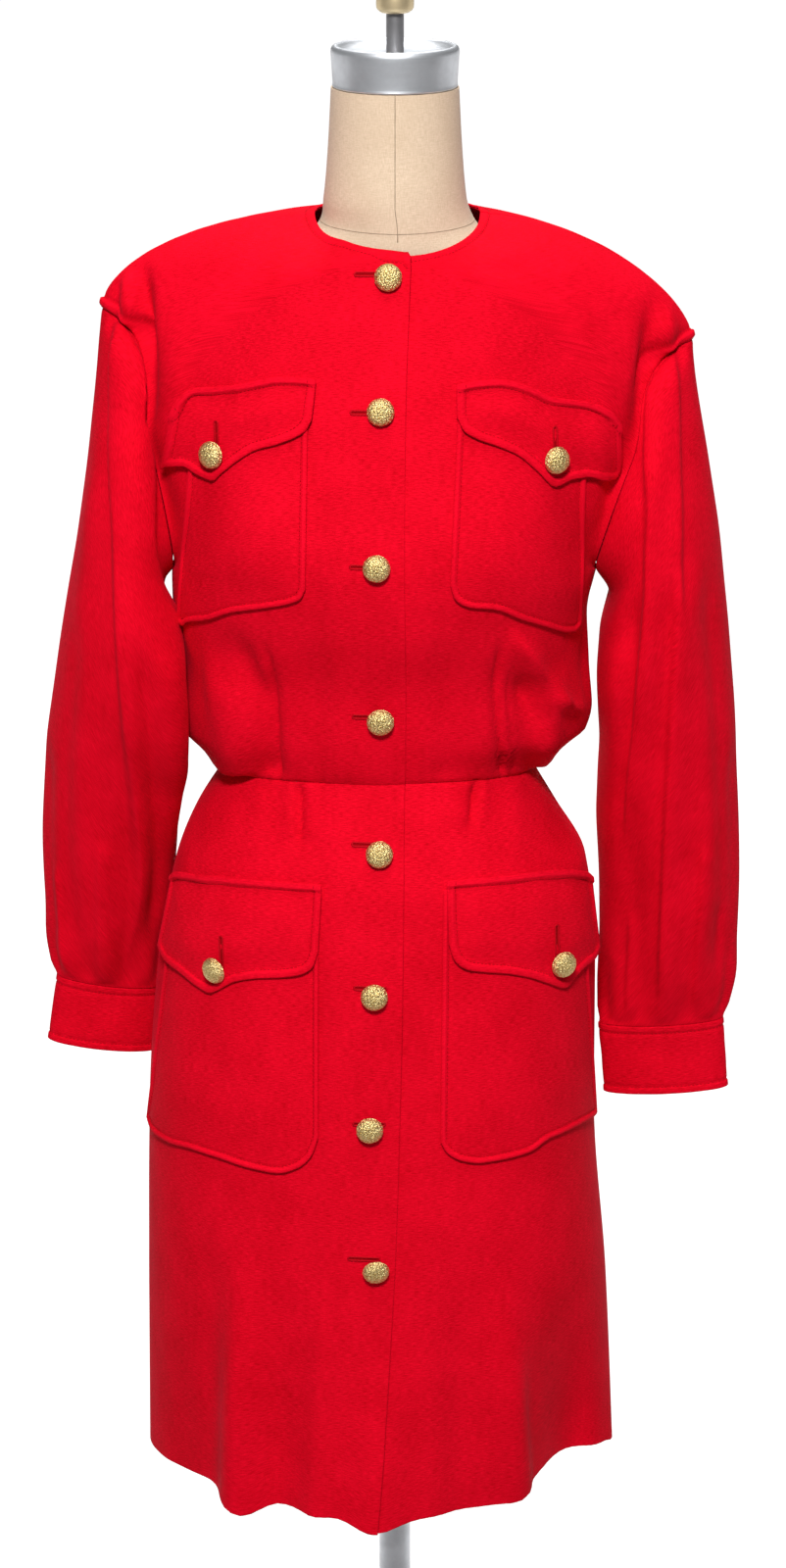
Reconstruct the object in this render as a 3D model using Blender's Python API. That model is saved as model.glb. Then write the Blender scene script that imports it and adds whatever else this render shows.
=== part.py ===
"""A coat dress in red wool on a limbless dress form, standing on its pole and base.

Metres, +Z up, the front faces -Y. X is the viewer's right, so the wearer's right side lies at -X.
The origin is the middle of the base's underside.

Every cloth piece is a wall. Its outer face follows rows that run from the middle of the garment
to its side: a row is a section worked out from its two ends, and its ends come from short tables.
"""

import math

import bmesh
import bpy
import numpy as np
from mathutils import Euler, Vector, geometry

RIGHT, LEFT = -1, 1
FRONT, BACK = -1, 1

# ---- Driving dimensions ----
WALL = 0.0018
POCKET_WALL = 0.0014
FLAP_WALL = 0.0018
SEAM_GAP = 0.0003
LAY_GAP = 0.0005

CENTRE_X = -0.010
UNDERLAP = 0.040
LAP_FULL, LAP_NONE = 0.048, 0.068

NECK_X = 0.0018
NECK_HALF_WIDTH = 0.0624
NECK_FRONT, NECK_BACK = 0.060, 0.055
NECK_SIDE_Z, NECK_FRONT_Z, NECK_BACK_Z = 1.392, 1.368, 1.393

# The rows of a bodice panel are numbered from 0 at the waist to 1 at the shoulder seam.
# The side seam ends at the underarm, and the neckline starts at the neck row.
ARM_ROW = 0.50
NECK_ROW = {FRONT: 0.75, BACK: 0.875}

FRONT_COLUMNS = 12
BACK_COLUMNS = 9
ARM_STEPS = 8
SLEEVE_COLUMNS = 4 * ARM_STEPS
LAP_COLUMNS = (0.0, 0.016, 0.032, 0.048, 0.064)

BUTTON_RADIUS = 0.0103
BUTTON_HEIGHT = 0.0072
SHANK_RADIUS = 0.0028
SHANK_HEIGHT = 0.0026

BUTTON_SEGMENTS = 12
# The dome's profile, as shares of the button's radius and height.
BUTTON_DOME = ((0.94, 0.0), (1.0, 0.17), (0.82, 0.62), (0.45, 0.92), (0.0, 1.0))

NECK_TOP_Z = 1.486
CAP_HEIGHT = 0.031
DISH_Z = NECK_TOP_Z + 0.025
ROD_RADIUS, ROD_TOP_Z = 0.0066, 1.5408
POLE_RADIUS = 0.0125
BASE_HEIGHT = 0.030
SHARP_DEGREES = 40


def table(columns, *rows):
    """A table as a dictionary of its named columns."""
    return dict(zip(columns.split(), np.array(rows, float).T))


# Middle front, middle back and side seam, from the waist seam up to the neck.
BODICE = table(
    "row front_z front_y back_z back_y side_z right_x left_x",
    (0.000, 0.973, -0.103, 0.962, 0.088, 0.958, -0.1349, 0.1082),
    (0.040, 0.984, -0.107, 0.974, 0.103, 0.972, -0.1480, 0.1240),
    (0.085, 1.000, -0.111, 0.990, 0.115, 0.989, -0.1650, 0.1480),
    (0.145, 1.030, -0.117, 1.015, 0.123, 1.008, -0.1690, 0.1525),
    (0.240, 1.066, -0.123, 1.055, 0.126, 1.042, -0.1700, 0.1500),
    (0.360, 1.100, -0.127, 1.098, 0.125, 1.082, -0.1712, 0.1480),
    (0.500, 1.136, -0.129, 1.134, 0.124, 1.118, -0.1715, 0.1550),
    (0.625, 1.250, -0.104, 1.235, 0.118, 1.118, -0.1715, 0.1550),
    (0.750, 1.368, -0.060, 1.320, 0.100, 1.118, -0.1715, 0.1550),
    (0.875, 1.368, -0.060, 1.393, 0.055, 1.118, -0.1715, 0.1550),
)

# How far a row turns on its way to the side, how square it is, and how far its middle stands out.
BODICE_SHAPE = table(
    "row turn square_right square_left front_bow back_bow",
    (0.00, 90, 2.10, 2.10, 0.000, 0.000),
    (0.06, 90, 2.00, 1.95, 0.000, 0.000),
    (0.15, 90, 2.15, 2.10, 0.000, 0.000),
    (0.36, 90, 2.25, 2.25, 0.000, 0.000),
    (0.50, 88, 2.15, 2.15, 0.000, 0.002),
    (0.60, 74, 2.00, 2.00, 0.006, 0.007),
    (0.68, 66, 2.00, 2.00, 0.013, 0.010),
    (0.76, 62, 2.00, 2.00, 0.018, 0.009),
    (0.88, 78, 1.75, 1.62, 0.010, 0.000),
    (1.00, 90, 1.84, 1.63, 0.000, 0.000),
)

SKIRT = table(
    "row front_z front_y back_z back_y side_z right_x left_x square_right square_left",
    (0.00, 0.973, -0.103, 0.962, 0.088, 0.958, -0.1349, 0.1082, 2.10, 2.10),
    (0.06, 0.930, -0.120, 0.925, 0.105, 0.927, -0.1544, 0.1269, 2.20, 2.20),
    (0.13, 0.887, -0.133, 0.885, 0.118, 0.887, -0.1705, 0.1490, 2.25, 2.25),
    (0.27, 0.812, -0.142, 0.810, 0.128, 0.812, -0.1850, 0.1575, 2.30, 2.30),
    (0.50, 0.685, -0.149, 0.685, 0.132, 0.685, -0.1945, 0.1580, 2.35, 2.30),
    (0.75, 0.540, -0.153, 0.540, 0.138, 0.540, -0.1970, 0.1690, 2.15, 2.05),
    (1.00, 0.392, -0.153, 0.392, 0.144, 0.392, -0.1985, 0.1765, 1.75, 1.60),
)

# The visible edge of the right front, and how far the right front lies above the left one.
LAP = table(
    "height edge_x lift",
    (0.378, -0.0140, 0.0046),
    (0.460, -0.0077, 0.0042),
    (0.550, -0.0023, 0.0034),
    (0.610, 0.0008, 0.0032),
    (0.715, 0.0039, 0.0032),
    (0.817, 0.0060, 0.0032),
    (0.973, 0.0075, 0.0032),
    (1.040, 0.0083, 0.0032),
    (1.147, 0.0067, 0.0032),
    (1.260, 0.0082, 0.0034),
    (1.368, 0.0124, 0.0046),
)

ARMHOLE = {
    RIGHT: {"top": (-0.2218, 0.000, 1.3200), "bottom": (-0.1715, 0.000, 1.118)},
    LEFT: {"top": (0.2259, 0.000, 1.2953), "bottom": (0.1550, 0.000, 1.118)},
}
ARMHOLE_DEPTH = {FRONT: 0.060, BACK: 0.058}
ARMHOLE_SCOOP = {FRONT: 0.0125, BACK: 0.007}
ARMHOLE_NOTCH = {FRONT: 0.015, BACK: 0.008}
BODICE_TURN, SLEEVE_TURN = 1.8, -1.0

# A sleeve's rings: their outer end, their inner end and half their depth from front to back.
SLEEVE = {
    RIGHT: table(
        "ring outer_x outer_z inner_x inner_z outer_y inner_y depth",
        (0.00, -0.2218, 1.3200, -0.1715, 1.118, 0.000, 0.000, 0.059),
        (0.04, -0.2240, 1.2980, -0.1770, 1.110, 0.000, -0.002, 0.060),
        (0.08, -0.2262, 1.2750, -0.1782, 1.100, 0.000, -0.006, 0.062),
        (0.20, -0.2340, 1.2150, -0.1745, 1.070, 0.000, -0.016, 0.063),
        (0.34, -0.2450, 1.1400, -0.1702, 1.035, 0.001, -0.030, 0.062),
        (0.50, -0.2595, 1.0550, -0.1690, 0.990, 0.004, -0.018, 0.060),
        (0.66, -0.2722, 0.9650, -0.1692, 0.935, 0.010, 0.012, 0.056),
        (0.80, -0.2765, 0.8850, -0.1730, 0.872, 0.016, 0.036, 0.050),
        (0.91, -0.2745, 0.8250, -0.1800, 0.814, 0.019, 0.044, 0.038),
        (1.00, -0.2680, 0.7815, -0.1865, 0.763, 0.020, 0.045, 0.020),
    ),
    LEFT: table(
        "ring outer_x outer_z inner_x inner_z outer_y inner_y depth",
        (0.00, 0.2259, 1.2953, 0.1550, 1.118, 0.000, 0.000, 0.059),
        (0.08, 0.2302, 1.2600, 0.1650, 1.098, 0.000, 0.000, 0.064),
        (0.20, 0.2400, 1.2050, 0.1582, 1.065, 0.001, 0.000, 0.067),
        (0.34, 0.2500, 1.1350, 0.1560, 1.025, 0.002, 0.000, 0.066),
        (0.50, 0.2600, 1.0450, 0.1585, 0.975, 0.004, 0.012, 0.063),
        (0.66, 0.2672, 0.9500, 0.1585, 0.920, 0.006, 0.026, 0.060),
        (0.80, 0.2708, 0.8600, 0.1618, 0.848, 0.008, 0.036, 0.052),
        (0.91, 0.2692, 0.7960, 0.1625, 0.787, 0.010, 0.034, 0.038),
        (1.00, 0.2602, 0.7485, 0.1625, 0.7385, 0.010, 0.026, 0.018),
    ),
}
CUFF_WALL = 0.0020
CUFF_FOOT = {
    RIGHT: {"outer": (-0.2760, 0.020, 0.7275), "inner": (-0.1905, 0.045, 0.7095), "depth": 0.018},
    LEFT: {"outer": (0.2650, 0.010, 0.6910), "inner": (0.1668, 0.026, 0.6805), "depth": 0.016},
}
SLEEVE_RINGS = (
    0.0, 0.035, 0.08, 0.14, 0.22, 0.32, 0.43, 0.54, 0.65, 0.75, 0.84, 0.90, 0.94, 0.975, 1.0
)
CUFF_PLEATS = {"count": 8, "height": 0.0022, "starts": 0.86, "full": 0.95, "ends": 0.975}

# A sleeve's folds. Its angles run from 0 on the outside through 90 in front to 180 inside.
SLEEVE_FOLDS = {
    RIGHT: table(
        "ring_top angle_top ring_low angle_low width height",
        (0.06, 66, 0.92, 122, 15, -0.0050),
        (0.10, 40, 0.90, 88, 17, 0.0035),
        (0.08, 152, 0.66, 150, 24, 0.0045),
        (0.25, 250, 0.95, 236, 16, -0.0055),
        (0.20, 300, 0.90, 292, 16, 0.0035),
        (0.62, 20, 0.95, 34, 13, -0.0030),
    ),
    LEFT: table(
        "ring_top angle_top ring_low angle_low width height",
        (0.06, 104, 0.96, 96, 14, -0.0055),
        (0.10, 76, 0.90, 66, 17, 0.0040),
        (0.22, 134, 0.94, 128, 15, 0.0035),
        (0.28, 244, 0.95, 256, 16, -0.0055),
        (0.20, 296, 0.90, 300, 16, 0.0035),
        (0.60, 22, 0.96, 30, 13, -0.0030),
    ),
}

# Pockets and flaps are drawn as seen from the front, in columns from their inner edge outward:
# each column runs from a point on the top edge to one on the low edge.
OUTLINE = "top_x top_z low_x low_z"
CHEST_POCKET = {
    RIGHT: table(
        OUTLINE,
        (-0.0638, 1.2780, -0.0663, 1.1315),
        (-0.0690, 1.2790, -0.0700, 1.1238),
        (-0.0780, 1.2795, -0.0790, 1.1195),
        (-0.0980, 1.2765, -0.0990, 1.1140),
        (-0.1180, 1.2720, -0.1200, 1.1078),
        (-0.1360, 1.2690, -0.1390, 1.0972),
        (-0.1490, 1.2620, -0.1550, 1.0894),
        (-0.1500, 1.2480, -0.1600, 1.0838),
        (-0.1530, 1.2160, -0.1640, 1.0860),
    ),
    LEFT: table(
        OUTLINE,
        (0.0468, 1.2740, 0.0407, 1.1352),
        (0.0520, 1.2755, 0.0440, 1.1243),
        (0.0610, 1.2765, 0.0540, 1.1174),
        (0.0790, 1.2755, 0.0744, 1.1137),
        (0.0980, 1.2700, 0.0930, 1.1033),
        (0.1160, 1.2620, 0.1130, 1.0922),
        (0.1320, 1.2585, 0.1270, 1.0833),
        (0.1390, 1.2500, 0.1345, 1.0801),
        (0.1420, 1.2160, 0.1395, 1.0828),
    ),
}
CHEST_FLAP = {
    RIGHT: table(
        OUTLINE,
        (-0.0575, 1.2825, -0.0610, 1.2540),
        (-0.0630, 1.2832, -0.0655, 1.2460),
        (-0.0710, 1.2840, -0.0730, 1.2410),
        (-0.0850, 1.2838, -0.0870, 1.2350),
        (-0.1000, 1.2805, -0.1020, 1.2298),
        (-0.1150, 1.2765, -0.1160, 1.2198),
        (-0.1270, 1.2745, -0.1270, 1.2100),
        (-0.1350, 1.2735, -0.1335, 1.2041),
        (-0.1430, 1.2728, -0.1450, 1.2068),
        (-0.1520, 1.2715, -0.1565, 1.2122),
        (-0.1600, 1.2655, -0.1670, 1.2108),
        (-0.1660, 1.2520, -0.1722, 1.2070),
    ),
    LEFT: table(
        OUTLINE,
        (0.0450, 1.2788, 0.0450, 1.2560),
        (0.0500, 1.2798, 0.0500, 1.2460),
        (0.0590, 1.2812, 0.0590, 1.2400),
        (0.0740, 1.2816, 0.0760, 1.2330),
        (0.0880, 1.2790, 0.0900, 1.2255),
        (0.1020, 1.2730, 0.1030, 1.2135),
        (0.1160, 1.2662, 0.1172, 1.2000),
        (0.1290, 1.2640, 0.1300, 1.2037),
        (0.1410, 1.2620, 0.1430, 1.2040),
        (0.1530, 1.2575, 0.1560, 1.1990),
        (0.1620, 1.2500, 0.1640, 1.1980),
        (0.1672, 1.2410, 0.1680, 1.2050),
    ),
}
HIP_POCKET = {
    RIGHT: table(
        OUTLINE,
        (-0.0570, 0.8950, -0.0576, 0.7050),
        (-0.0620, 0.8955, -0.0630, 0.6905),
        (-0.0720, 0.8955, -0.0740, 0.6795),
        (-0.0880, 0.8950, -0.0910, 0.6740),
        (-0.1060, 0.8940, -0.1120, 0.6755),
        (-0.1240, 0.8920, -0.1340, 0.6790),
        (-0.1400, 0.8880, -0.1560, 0.6800),
        (-0.1530, 0.8830, -0.1740, 0.6768),
        (-0.1630, 0.8770, -0.1875, 0.6755),
        (-0.1690, 0.8700, -0.1930, 0.6780),
    ),
    LEFT: table(
        OUTLINE,
        (0.0360, 0.8965, 0.0344, 0.7010),
        (0.0410, 0.8972, 0.0390, 0.6925),
        (0.0500, 0.8975, 0.0500, 0.6850),
        (0.0640, 0.8970, 0.0660, 0.6815),
        (0.0800, 0.8960, 0.0840, 0.6818),
        (0.0960, 0.8945, 0.1020, 0.6832),
        (0.1110, 0.8910, 0.1190, 0.6900),
        (0.1240, 0.8870, 0.1350, 0.6900),
        (0.1350, 0.8820, 0.1490, 0.6870),
        (0.1430, 0.8740, 0.1566, 0.6815),
    ),
}
HIP_FLAP = {
    RIGHT: table(
        OUTLINE,
        (-0.0534, 0.9008, -0.0565, 0.8500),
        (-0.0590, 0.9008, -0.0610, 0.8390),
        (-0.0690, 0.9005, -0.0700, 0.8325),
        (-0.0850, 0.9000, -0.0870, 0.8285),
        (-0.1020, 0.8990, -0.1050, 0.8257),
        (-0.1180, 0.8975, -0.1200, 0.8205),
        (-0.1300, 0.8960, -0.1320, 0.8118),
        (-0.1390, 0.8940, -0.1396, 0.8077),
        (-0.1470, 0.8920, -0.1490, 0.8105),
        (-0.1550, 0.8895, -0.1610, 0.8156),
        (-0.1630, 0.8860, -0.1730, 0.8178),
        (-0.1680, 0.8800, -0.1795, 0.8230),
    ),
    LEFT: table(
        OUTLINE,
        (0.0378, 0.9031, 0.0400, 0.8560),
        (0.0430, 0.9032, 0.0440, 0.8440),
        (0.0520, 0.9032, 0.0530, 0.8362),
        (0.0650, 0.9028, 0.0680, 0.8325),
        (0.0790, 0.9022, 0.0850, 0.8290),
        (0.0930, 0.9012, 0.1000, 0.8235),
        (0.1060, 0.8998, 0.1130, 0.8160),
        (0.1180, 0.8970, 0.1274, 0.8074),
        (0.1280, 0.8940, 0.1350, 0.8130),
        (0.1360, 0.8900, 0.1430, 0.8170),
        (0.1430, 0.8850, 0.1500, 0.8170),
        (0.1475, 0.8780, 0.1545, 0.8200),
    ),
}
POCKETS = {"chest": CHEST_POCKET, "hip": HIP_POCKET}
FLAPS = {"chest": CHEST_FLAP, "hip": HIP_FLAP}
FLAP_LIFT = 2.4 * LAY_GAP + POCKET_WALL
TUCK_HEIGHT, TUCK_DEPTH = 0.0016, 0.0050
EDGE_HEIGHT, EDGE_DEPTH = 0.0008, 0.0070
CREASE = 0.0020
REACH = 0.070
MERGE = 0.0001

# The front buttons, and how far each one leans from the cloth's own direction.
FRONT_BUTTONS = table(
    "x z lean_side lean_down",
    (-0.0051, 1.3545, 0, 6),
    (-0.0109, 1.2600, 2, 8),
    (-0.0138, 1.1485, -2, 6),
    (-0.0110, 1.0262, 2, 4),
    (-0.0119, 0.9240, 3, 6),
    (-0.0156, 0.8180, -2, 5),
    (-0.0194, 0.7140, 2, 6),
    (-0.0150, 0.6010, 8, 22),
)
FLAP_BUTTONS = {
    "chest_button_right": {"x": -0.1346, "z": 1.2245, "lean_side": 0, "lean_down": 6},
    "chest_button_left": {"x": 0.1184, "z": 1.2210, "lean_side": -2, "lean_down": 6},
    "hip_button_right": {"x": -0.1350, "z": 0.8290, "lean_side": -6, "lean_down": 16},
    "hip_button_left": {"x": 0.1264, "z": 0.8295, "lean_side": -18, "lean_down": 10},
}

# The dress form's own rings. It leans a little with the dress at the waist.
FORM = table(
    "height half_width front back square middle_x",
    (0.700, 0.132, 0.100, 0.102, 2.1, -0.010),
    (0.780, 0.140, 0.112, 0.110, 2.1, -0.010),
    (0.860, 0.130, 0.104, 0.100, 2.1, -0.009),
    (0.920, 0.112, 0.094, 0.086, 2.1, -0.009),
    (0.962, 0.104, 0.088, 0.078, 2.1, -0.009),
    (1.010, 0.110, 0.094, 0.086, 2.1, -0.008),
    (1.080, 0.128, 0.112, 0.096, 2.1, -0.004),
    (1.150, 0.140, 0.110, 0.102, 2.1, 0.000),
    (1.220, 0.146, 0.092, 0.098, 2.1, 0.000),
    (1.285, 0.152, 0.072, 0.082, 2.0, 0.000),
    (1.325, 0.152, 0.058, 0.064, 1.8, 0.000),
    (1.348, 0.142, 0.053, 0.054, 1.6, 0.000),
    (1.362, 0.110, 0.051, 0.050, 1.5, 0.001),
    (1.372, 0.081, 0.051, 0.048, 1.6, 0.002),
    (1.381, 0.062, 0.050, 0.048, 1.8, 0.002),
    (1.390, 0.0565, 0.050, 0.0484, 1.9, 0.0015),
    (1.402, 0.0540, 0.050, 0.047, 2.0, 0.000),
    (1.440, 0.0505, 0.048, 0.047, 2.0, 0.000),
    (1.4857, 0.0480, 0.047, 0.047, 2.0, 0.000),
)
FORM_COLUMNS = 28

# Turned pieces, as radius and height above the piece's own foot.
CAP_PROFILE = table(
    "radius height",
    (0.0000, 0.000),
    (0.0462, 0.000),
    (0.0468, 0.003),
    (0.0482, 0.025),
    (0.0490, 0.029),
    (0.0482, CAP_HEIGHT),
    (0.0455, CAP_HEIGHT),
    (0.0430, 0.027),
    (0.0300, 0.025),
    (0.0000, 0.025),
)
FINIAL_PROFILE = table(
    "radius height",
    (0.0000, 0.0000),
    (0.0110, 0.0000),
    (0.0142, 0.0034),
    (0.0142, 0.0129),
    (0.0115, 0.0179),
    (0.0000, 0.0194),
)
BASE_PROFILE = table(
    "radius height",
    (0.000, 0.000),
    (0.185, 0.000),
    (0.185, 0.008),
    (0.173, 0.014),
    (0.050, 0.022),
    (0.034, BASE_HEIGHT),
    (0.000, BASE_HEIGHT),
)


def smooth(knots, values, at):
    """A smooth curve through the knots with no overshoot, read at one place."""
    steps = np.diff(knots)
    slopes = np.diff(values) / steps
    tangents = np.zeros(len(knots))
    tangents[0], tangents[-1] = slopes[0], slopes[-1]
    for i in range(1, len(knots) - 1):
        if slopes[i - 1] * slopes[i] > 0:
            first = 2 * steps[i] + steps[i - 1]
            second = steps[i] + 2 * steps[i - 1]
            tangents[i] = (first + second) / (first / slopes[i - 1] + second / slopes[i])
    k = int(np.clip(np.searchsorted(knots, at, side="right") - 1, 0, len(steps) - 1))
    t = (at - knots[k]) / steps[k]
    start = (1 + 2 * t) * (1 - t) ** 2 * values[k] + t * (1 - t) ** 2 * steps[k] * tangents[k]
    end = t * t * (3 - 2 * t) * values[k + 1] + t * t * (t - 1) * steps[k] * tangents[k + 1]
    return start + end


def read(rows, column, at):
    """One column of a table, read anywhere along its first column."""
    return smooth(next(iter(rows.values())), rows[column], at)


def ease(low, high, at):
    """0 below low, 1 above high, and smooth between them."""
    t = np.clip((at - low) / (high - low), 0.0, 1.0)
    return t * t * (3 - 2 * t)


def unit(vectors):
    return vectors / np.linalg.norm(vectors, axis=-1, keepdims=True)


def resample(points, distances):
    """The points of a polyline at given distances along it."""
    lengths = np.concatenate([[0.0], np.cumsum(np.linalg.norm(np.diff(points, axis=0), axis=1))])
    return np.stack([np.interp(distances, lengths, points[:, axis]) for axis in range(3)], axis=1)


def length_of(points):
    return float(np.linalg.norm(np.diff(points, axis=0), axis=1).sum())


# ---- The body of the dress, as rows ----


def section(inner, outer, face, turn, square, bow, count=91):
    """A row from its inner end, where it lies level with X, to its outer end."""
    angle = np.linspace(0.0, math.radians(turn), count)
    across = (np.sin(angle) / math.sin(angle[-1])) ** (2 / square)
    inward = (np.cos(angle) - math.cos(angle[-1])) / (1 - math.cos(angle[-1]))
    inward = np.clip(inward, 0.0, 1.0) ** (2 / square)
    inner, outer = np.array(inner), np.array(outer)
    points = outer + (inner - outer) * inward[:, None]
    points[:, 0] = inner[0] + (outer[0] - inner[0]) * across
    points[:, 1] += face * bow * np.sin(math.pi * across)
    return points


def neckline(degrees):
    """The neck edge: 0 at the middle front, 90 at the left neck point, 180 at the middle back."""
    angle = math.radians(degrees)
    front = math.cos(angle) > 0
    depth, end_z = (NECK_FRONT, NECK_FRONT_Z) if front else (NECK_BACK, NECK_BACK_Z)
    x = NECK_X + NECK_HALF_WIDTH * math.sin(angle)
    z = NECK_SIDE_Z + (end_z - NECK_SIDE_Z) * abs(math.cos(angle))
    return np.array([x, -depth * math.cos(angle), z])


def armhole(side, face, degrees):
    """The armhole edge: 0 at the shoulder end, 180 at the underarm."""
    angle = math.radians(degrees)
    top, bottom = (np.array(ARMHOLE[side][end]) for end in ("top", "bottom"))
    point = (top + bottom) / 2 + (top - bottom) / 2 * math.cos(angle)
    point[1] += face * ARMHOLE_DEPTH[face] * math.sin(angle)
    inset = ARMHOLE_SCOOP[face] * math.sin(angle)
    if degrees < 90:
        inset += ARMHOLE_NOTCH[face] * math.sin(2 * angle) ** 2
    point[0] -= side * inset
    return point


def armhole_normal(side, face, degrees, turns_to_arm):
    """The way out of the cloth at the armhole seam. Bodice and sleeve part at the underarm."""
    angle = math.radians(degrees)
    top, bottom = (np.array(ARMHOLE[side][end]) for end in ("top", "bottom"))
    radial = unit(top - bottom) * math.cos(angle)
    radial[1] += face * math.sin(angle)
    radial[0] += side * 1.5 * max(0.0, math.cos(angle))
    radial[0] += side * turns_to_arm * max(0.0, -math.cos(angle))
    return unit(radial)


def arm_degrees(row):
    """The place on the armhole where a bodice row ends."""
    return 180.0 * (1 - (row - ARM_ROW) / (1 - ARM_ROW))


def side_x(rows, side, row):
    return read(rows, "right_x" if side == RIGHT else "left_x", row)


def outer_end(side, face, row):
    if row <= ARM_ROW:
        return np.array([side_x(BODICE, side, row), 0.0, read(BODICE, "side_z", row)])
    return armhole(side, face, arm_degrees(row))


def bodice_half(side, face, row, inner=None):
    """A bodice row from the middle, or from the neckline, to the side."""
    if inner is None:
        name = "front" if face == FRONT else "back"
        inner = (CENTRE_X, read(BODICE, name + "_y", row), read(BODICE, name + "_z", row))
    square = read(BODICE_SHAPE, "square_right" if side == RIGHT else "square_left", row)
    bow = read(BODICE_SHAPE, "front_bow" if face == FRONT else "back_bow", row)
    turn = read(BODICE_SHAPE, "turn", row)
    return section(inner, outer_end(side, face, row), face, turn, square, bow)


def skirt_half(side, face, row):
    name = "front" if face == FRONT else "back"
    inner = (CENTRE_X, read(SKIRT, name + "_y", row), read(SKIRT, name + "_z", row))
    outer = (side_x(SKIRT, side, row), 0.0, read(SKIRT, "side_z", row))
    square = read(SKIRT, "square_right" if side == RIGHT else "square_left", row)
    return section(inner, outer, face, 90.0, square, 0.0)


def lap_start(side, height):
    """Where a front starts: the right one at the lap edge, the left one under the right one."""
    edge = read(LAP, "edge_x", height)
    return edge if side == RIGHT else edge - UNDERLAP


def cut_at(side, halves, start):
    """The part of a whole row from start to the side's outer end."""
    near, far = halves[side], halves[-side]
    whole = np.concatenate([far[::-1], near[1:]])
    lengths = np.concatenate([[0.0], np.cumsum(np.linalg.norm(np.diff(whole, axis=0), axis=1))])
    place = np.interp(side * start, side * whole[:, 0], lengths)
    kept = np.linspace(place, lengths[-1], 161)
    return resample(whole, kept)


def neck_start(side):
    """The angle on the neckline where a front starts."""
    return math.degrees(math.asin((lap_start(side, NECK_FRONT_Z) - NECK_X) / NECK_HALF_WIDTH))


def front_row(side, row):
    """A bodice front's row from its start to its outer end."""
    first = NECK_ROW[FRONT]
    if row <= first:
        halves = {s: bodice_half(s, FRONT, row) for s in (RIGHT, LEFT)}
        return cut_at(side, halves, lap_start(side, read(BODICE, "front_z", row)))
    start = neck_start(side)
    share = (row - first) / (1 - first)
    inner = neckline(start + (side * 90.0 - start) * share)
    return bodice_half(side, FRONT, row, inner)


def back_row(side, row):
    """Half a bodice back's row, from the middle or the neckline to its outer end."""
    first = NECK_ROW[BACK]
    if row <= first:
        return bodice_half(side, BACK, row)
    share = (row - first) / (1 - first)
    return bodice_half(side, BACK, row, neckline(side * (180.0 - 90.0 * share)))


def skirt_front_row(side, row):
    halves = {s: skirt_half(s, FRONT, row) for s in (RIGHT, LEFT)}
    return cut_at(side, halves, lap_start(side, read(SKIRT, "front_z", row)))


def front_distances(length):
    """The columns of a front: close by the lap edge, then even out to the side."""
    rest = np.linspace(LAP_COLUMNS[-1], length, FRONT_COLUMNS + 2 - len(LAP_COLUMNS))
    return np.concatenate([LAP_COLUMNS[:-1], rest])


def panel_grid(row_points, rows, distances):
    """The grid of a panel: a row of points for each place in rows."""
    lines = [row_points(row) for row in rows]
    return np.array([resample(line, distances(length_of(line))) for line in lines])


def even(count):
    return lambda length: np.linspace(0.0, length, count + 1)


def grid_normals(grid, wrap=False):
    """Unit normals of a grid, across its rows and up its columns."""
    if wrap:
        body = grid[:, :-1]
        across = np.roll(body, -1, axis=1) - np.roll(body, 1, axis=1)
        across = np.concatenate([across, across[:, :1]], axis=1)
    else:
        across = np.gradient(grid, axis=1)
    up = np.gradient(grid, axis=0)
    return unit(np.cross(across, up))


def outward(normals, grid):
    """The same normals, facing away from the middle of the garment."""
    away = grid[..., :2] - np.array((CENTRE_X, 0.0))
    inside = (normals[..., :2] * away).sum(axis=-1).mean() < 0
    return -normals if inside else normals


# ---- Folds ----
# A fold is a soft ridge (or a trough, where its height is below 0) along a straight line seen
# from the front or the back. It fades in over the share `fade` of its length at both ends, and
# an end that is marked 1 doesn't fade.

FOLD_COLUMNS = "top_x top_z bottom_x bottom_z width height fade keep_top keep_bottom"
BODICE_FOLDS = {
    FRONT: table(
        FOLD_COLUMNS,
        (-0.0950, 1.085, -0.0863, 0.977, 0.0050, -0.0030, 0.35, 0, 1),
        (-0.1040, 1.070, -0.0980, 0.985, 0.0080, -0.0030, 0.45, 0, 1),
        (-0.1300, 1.075, -0.1220, 0.980, 0.0160, 0.0100, 0.45, 0, 1),
        (0.0767, 1.089, 0.0800, 0.978, 0.0050, -0.0035, 0.35, 0, 1),
        (0.0870, 1.098, 0.1340, 1.012, 0.0110, 0.0080, 0.35, 0, 0),
        (0.0950, 1.066, 0.1020, 0.985, 0.0100, -0.0050, 0.40, 0, 1),
        (0.1260, 1.060, 0.1130, 0.980, 0.0120, 0.0070, 0.45, 0, 1),
    ),
    BACK: table(
        FOLD_COLUMNS,
        (-0.0900, 1.110, -0.0700, 0.970, 0.0060, -0.0035, 0.35, 0, 1),
        (-0.1200, 1.080, -0.1050, 0.975, 0.0090, 0.0040, 0.45, 0, 1),
        (0.0800, 1.110, 0.0600, 0.970, 0.0060, -0.0035, 0.35, 0, 1),
        (0.1100, 1.080, 0.0950, 0.975, 0.0090, 0.0040, 0.45, 0, 1),
        (-0.0100, 1.060, -0.0120, 0.975, 0.0140, 0.0030, 0.45, 0, 1),
    ),
}
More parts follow.
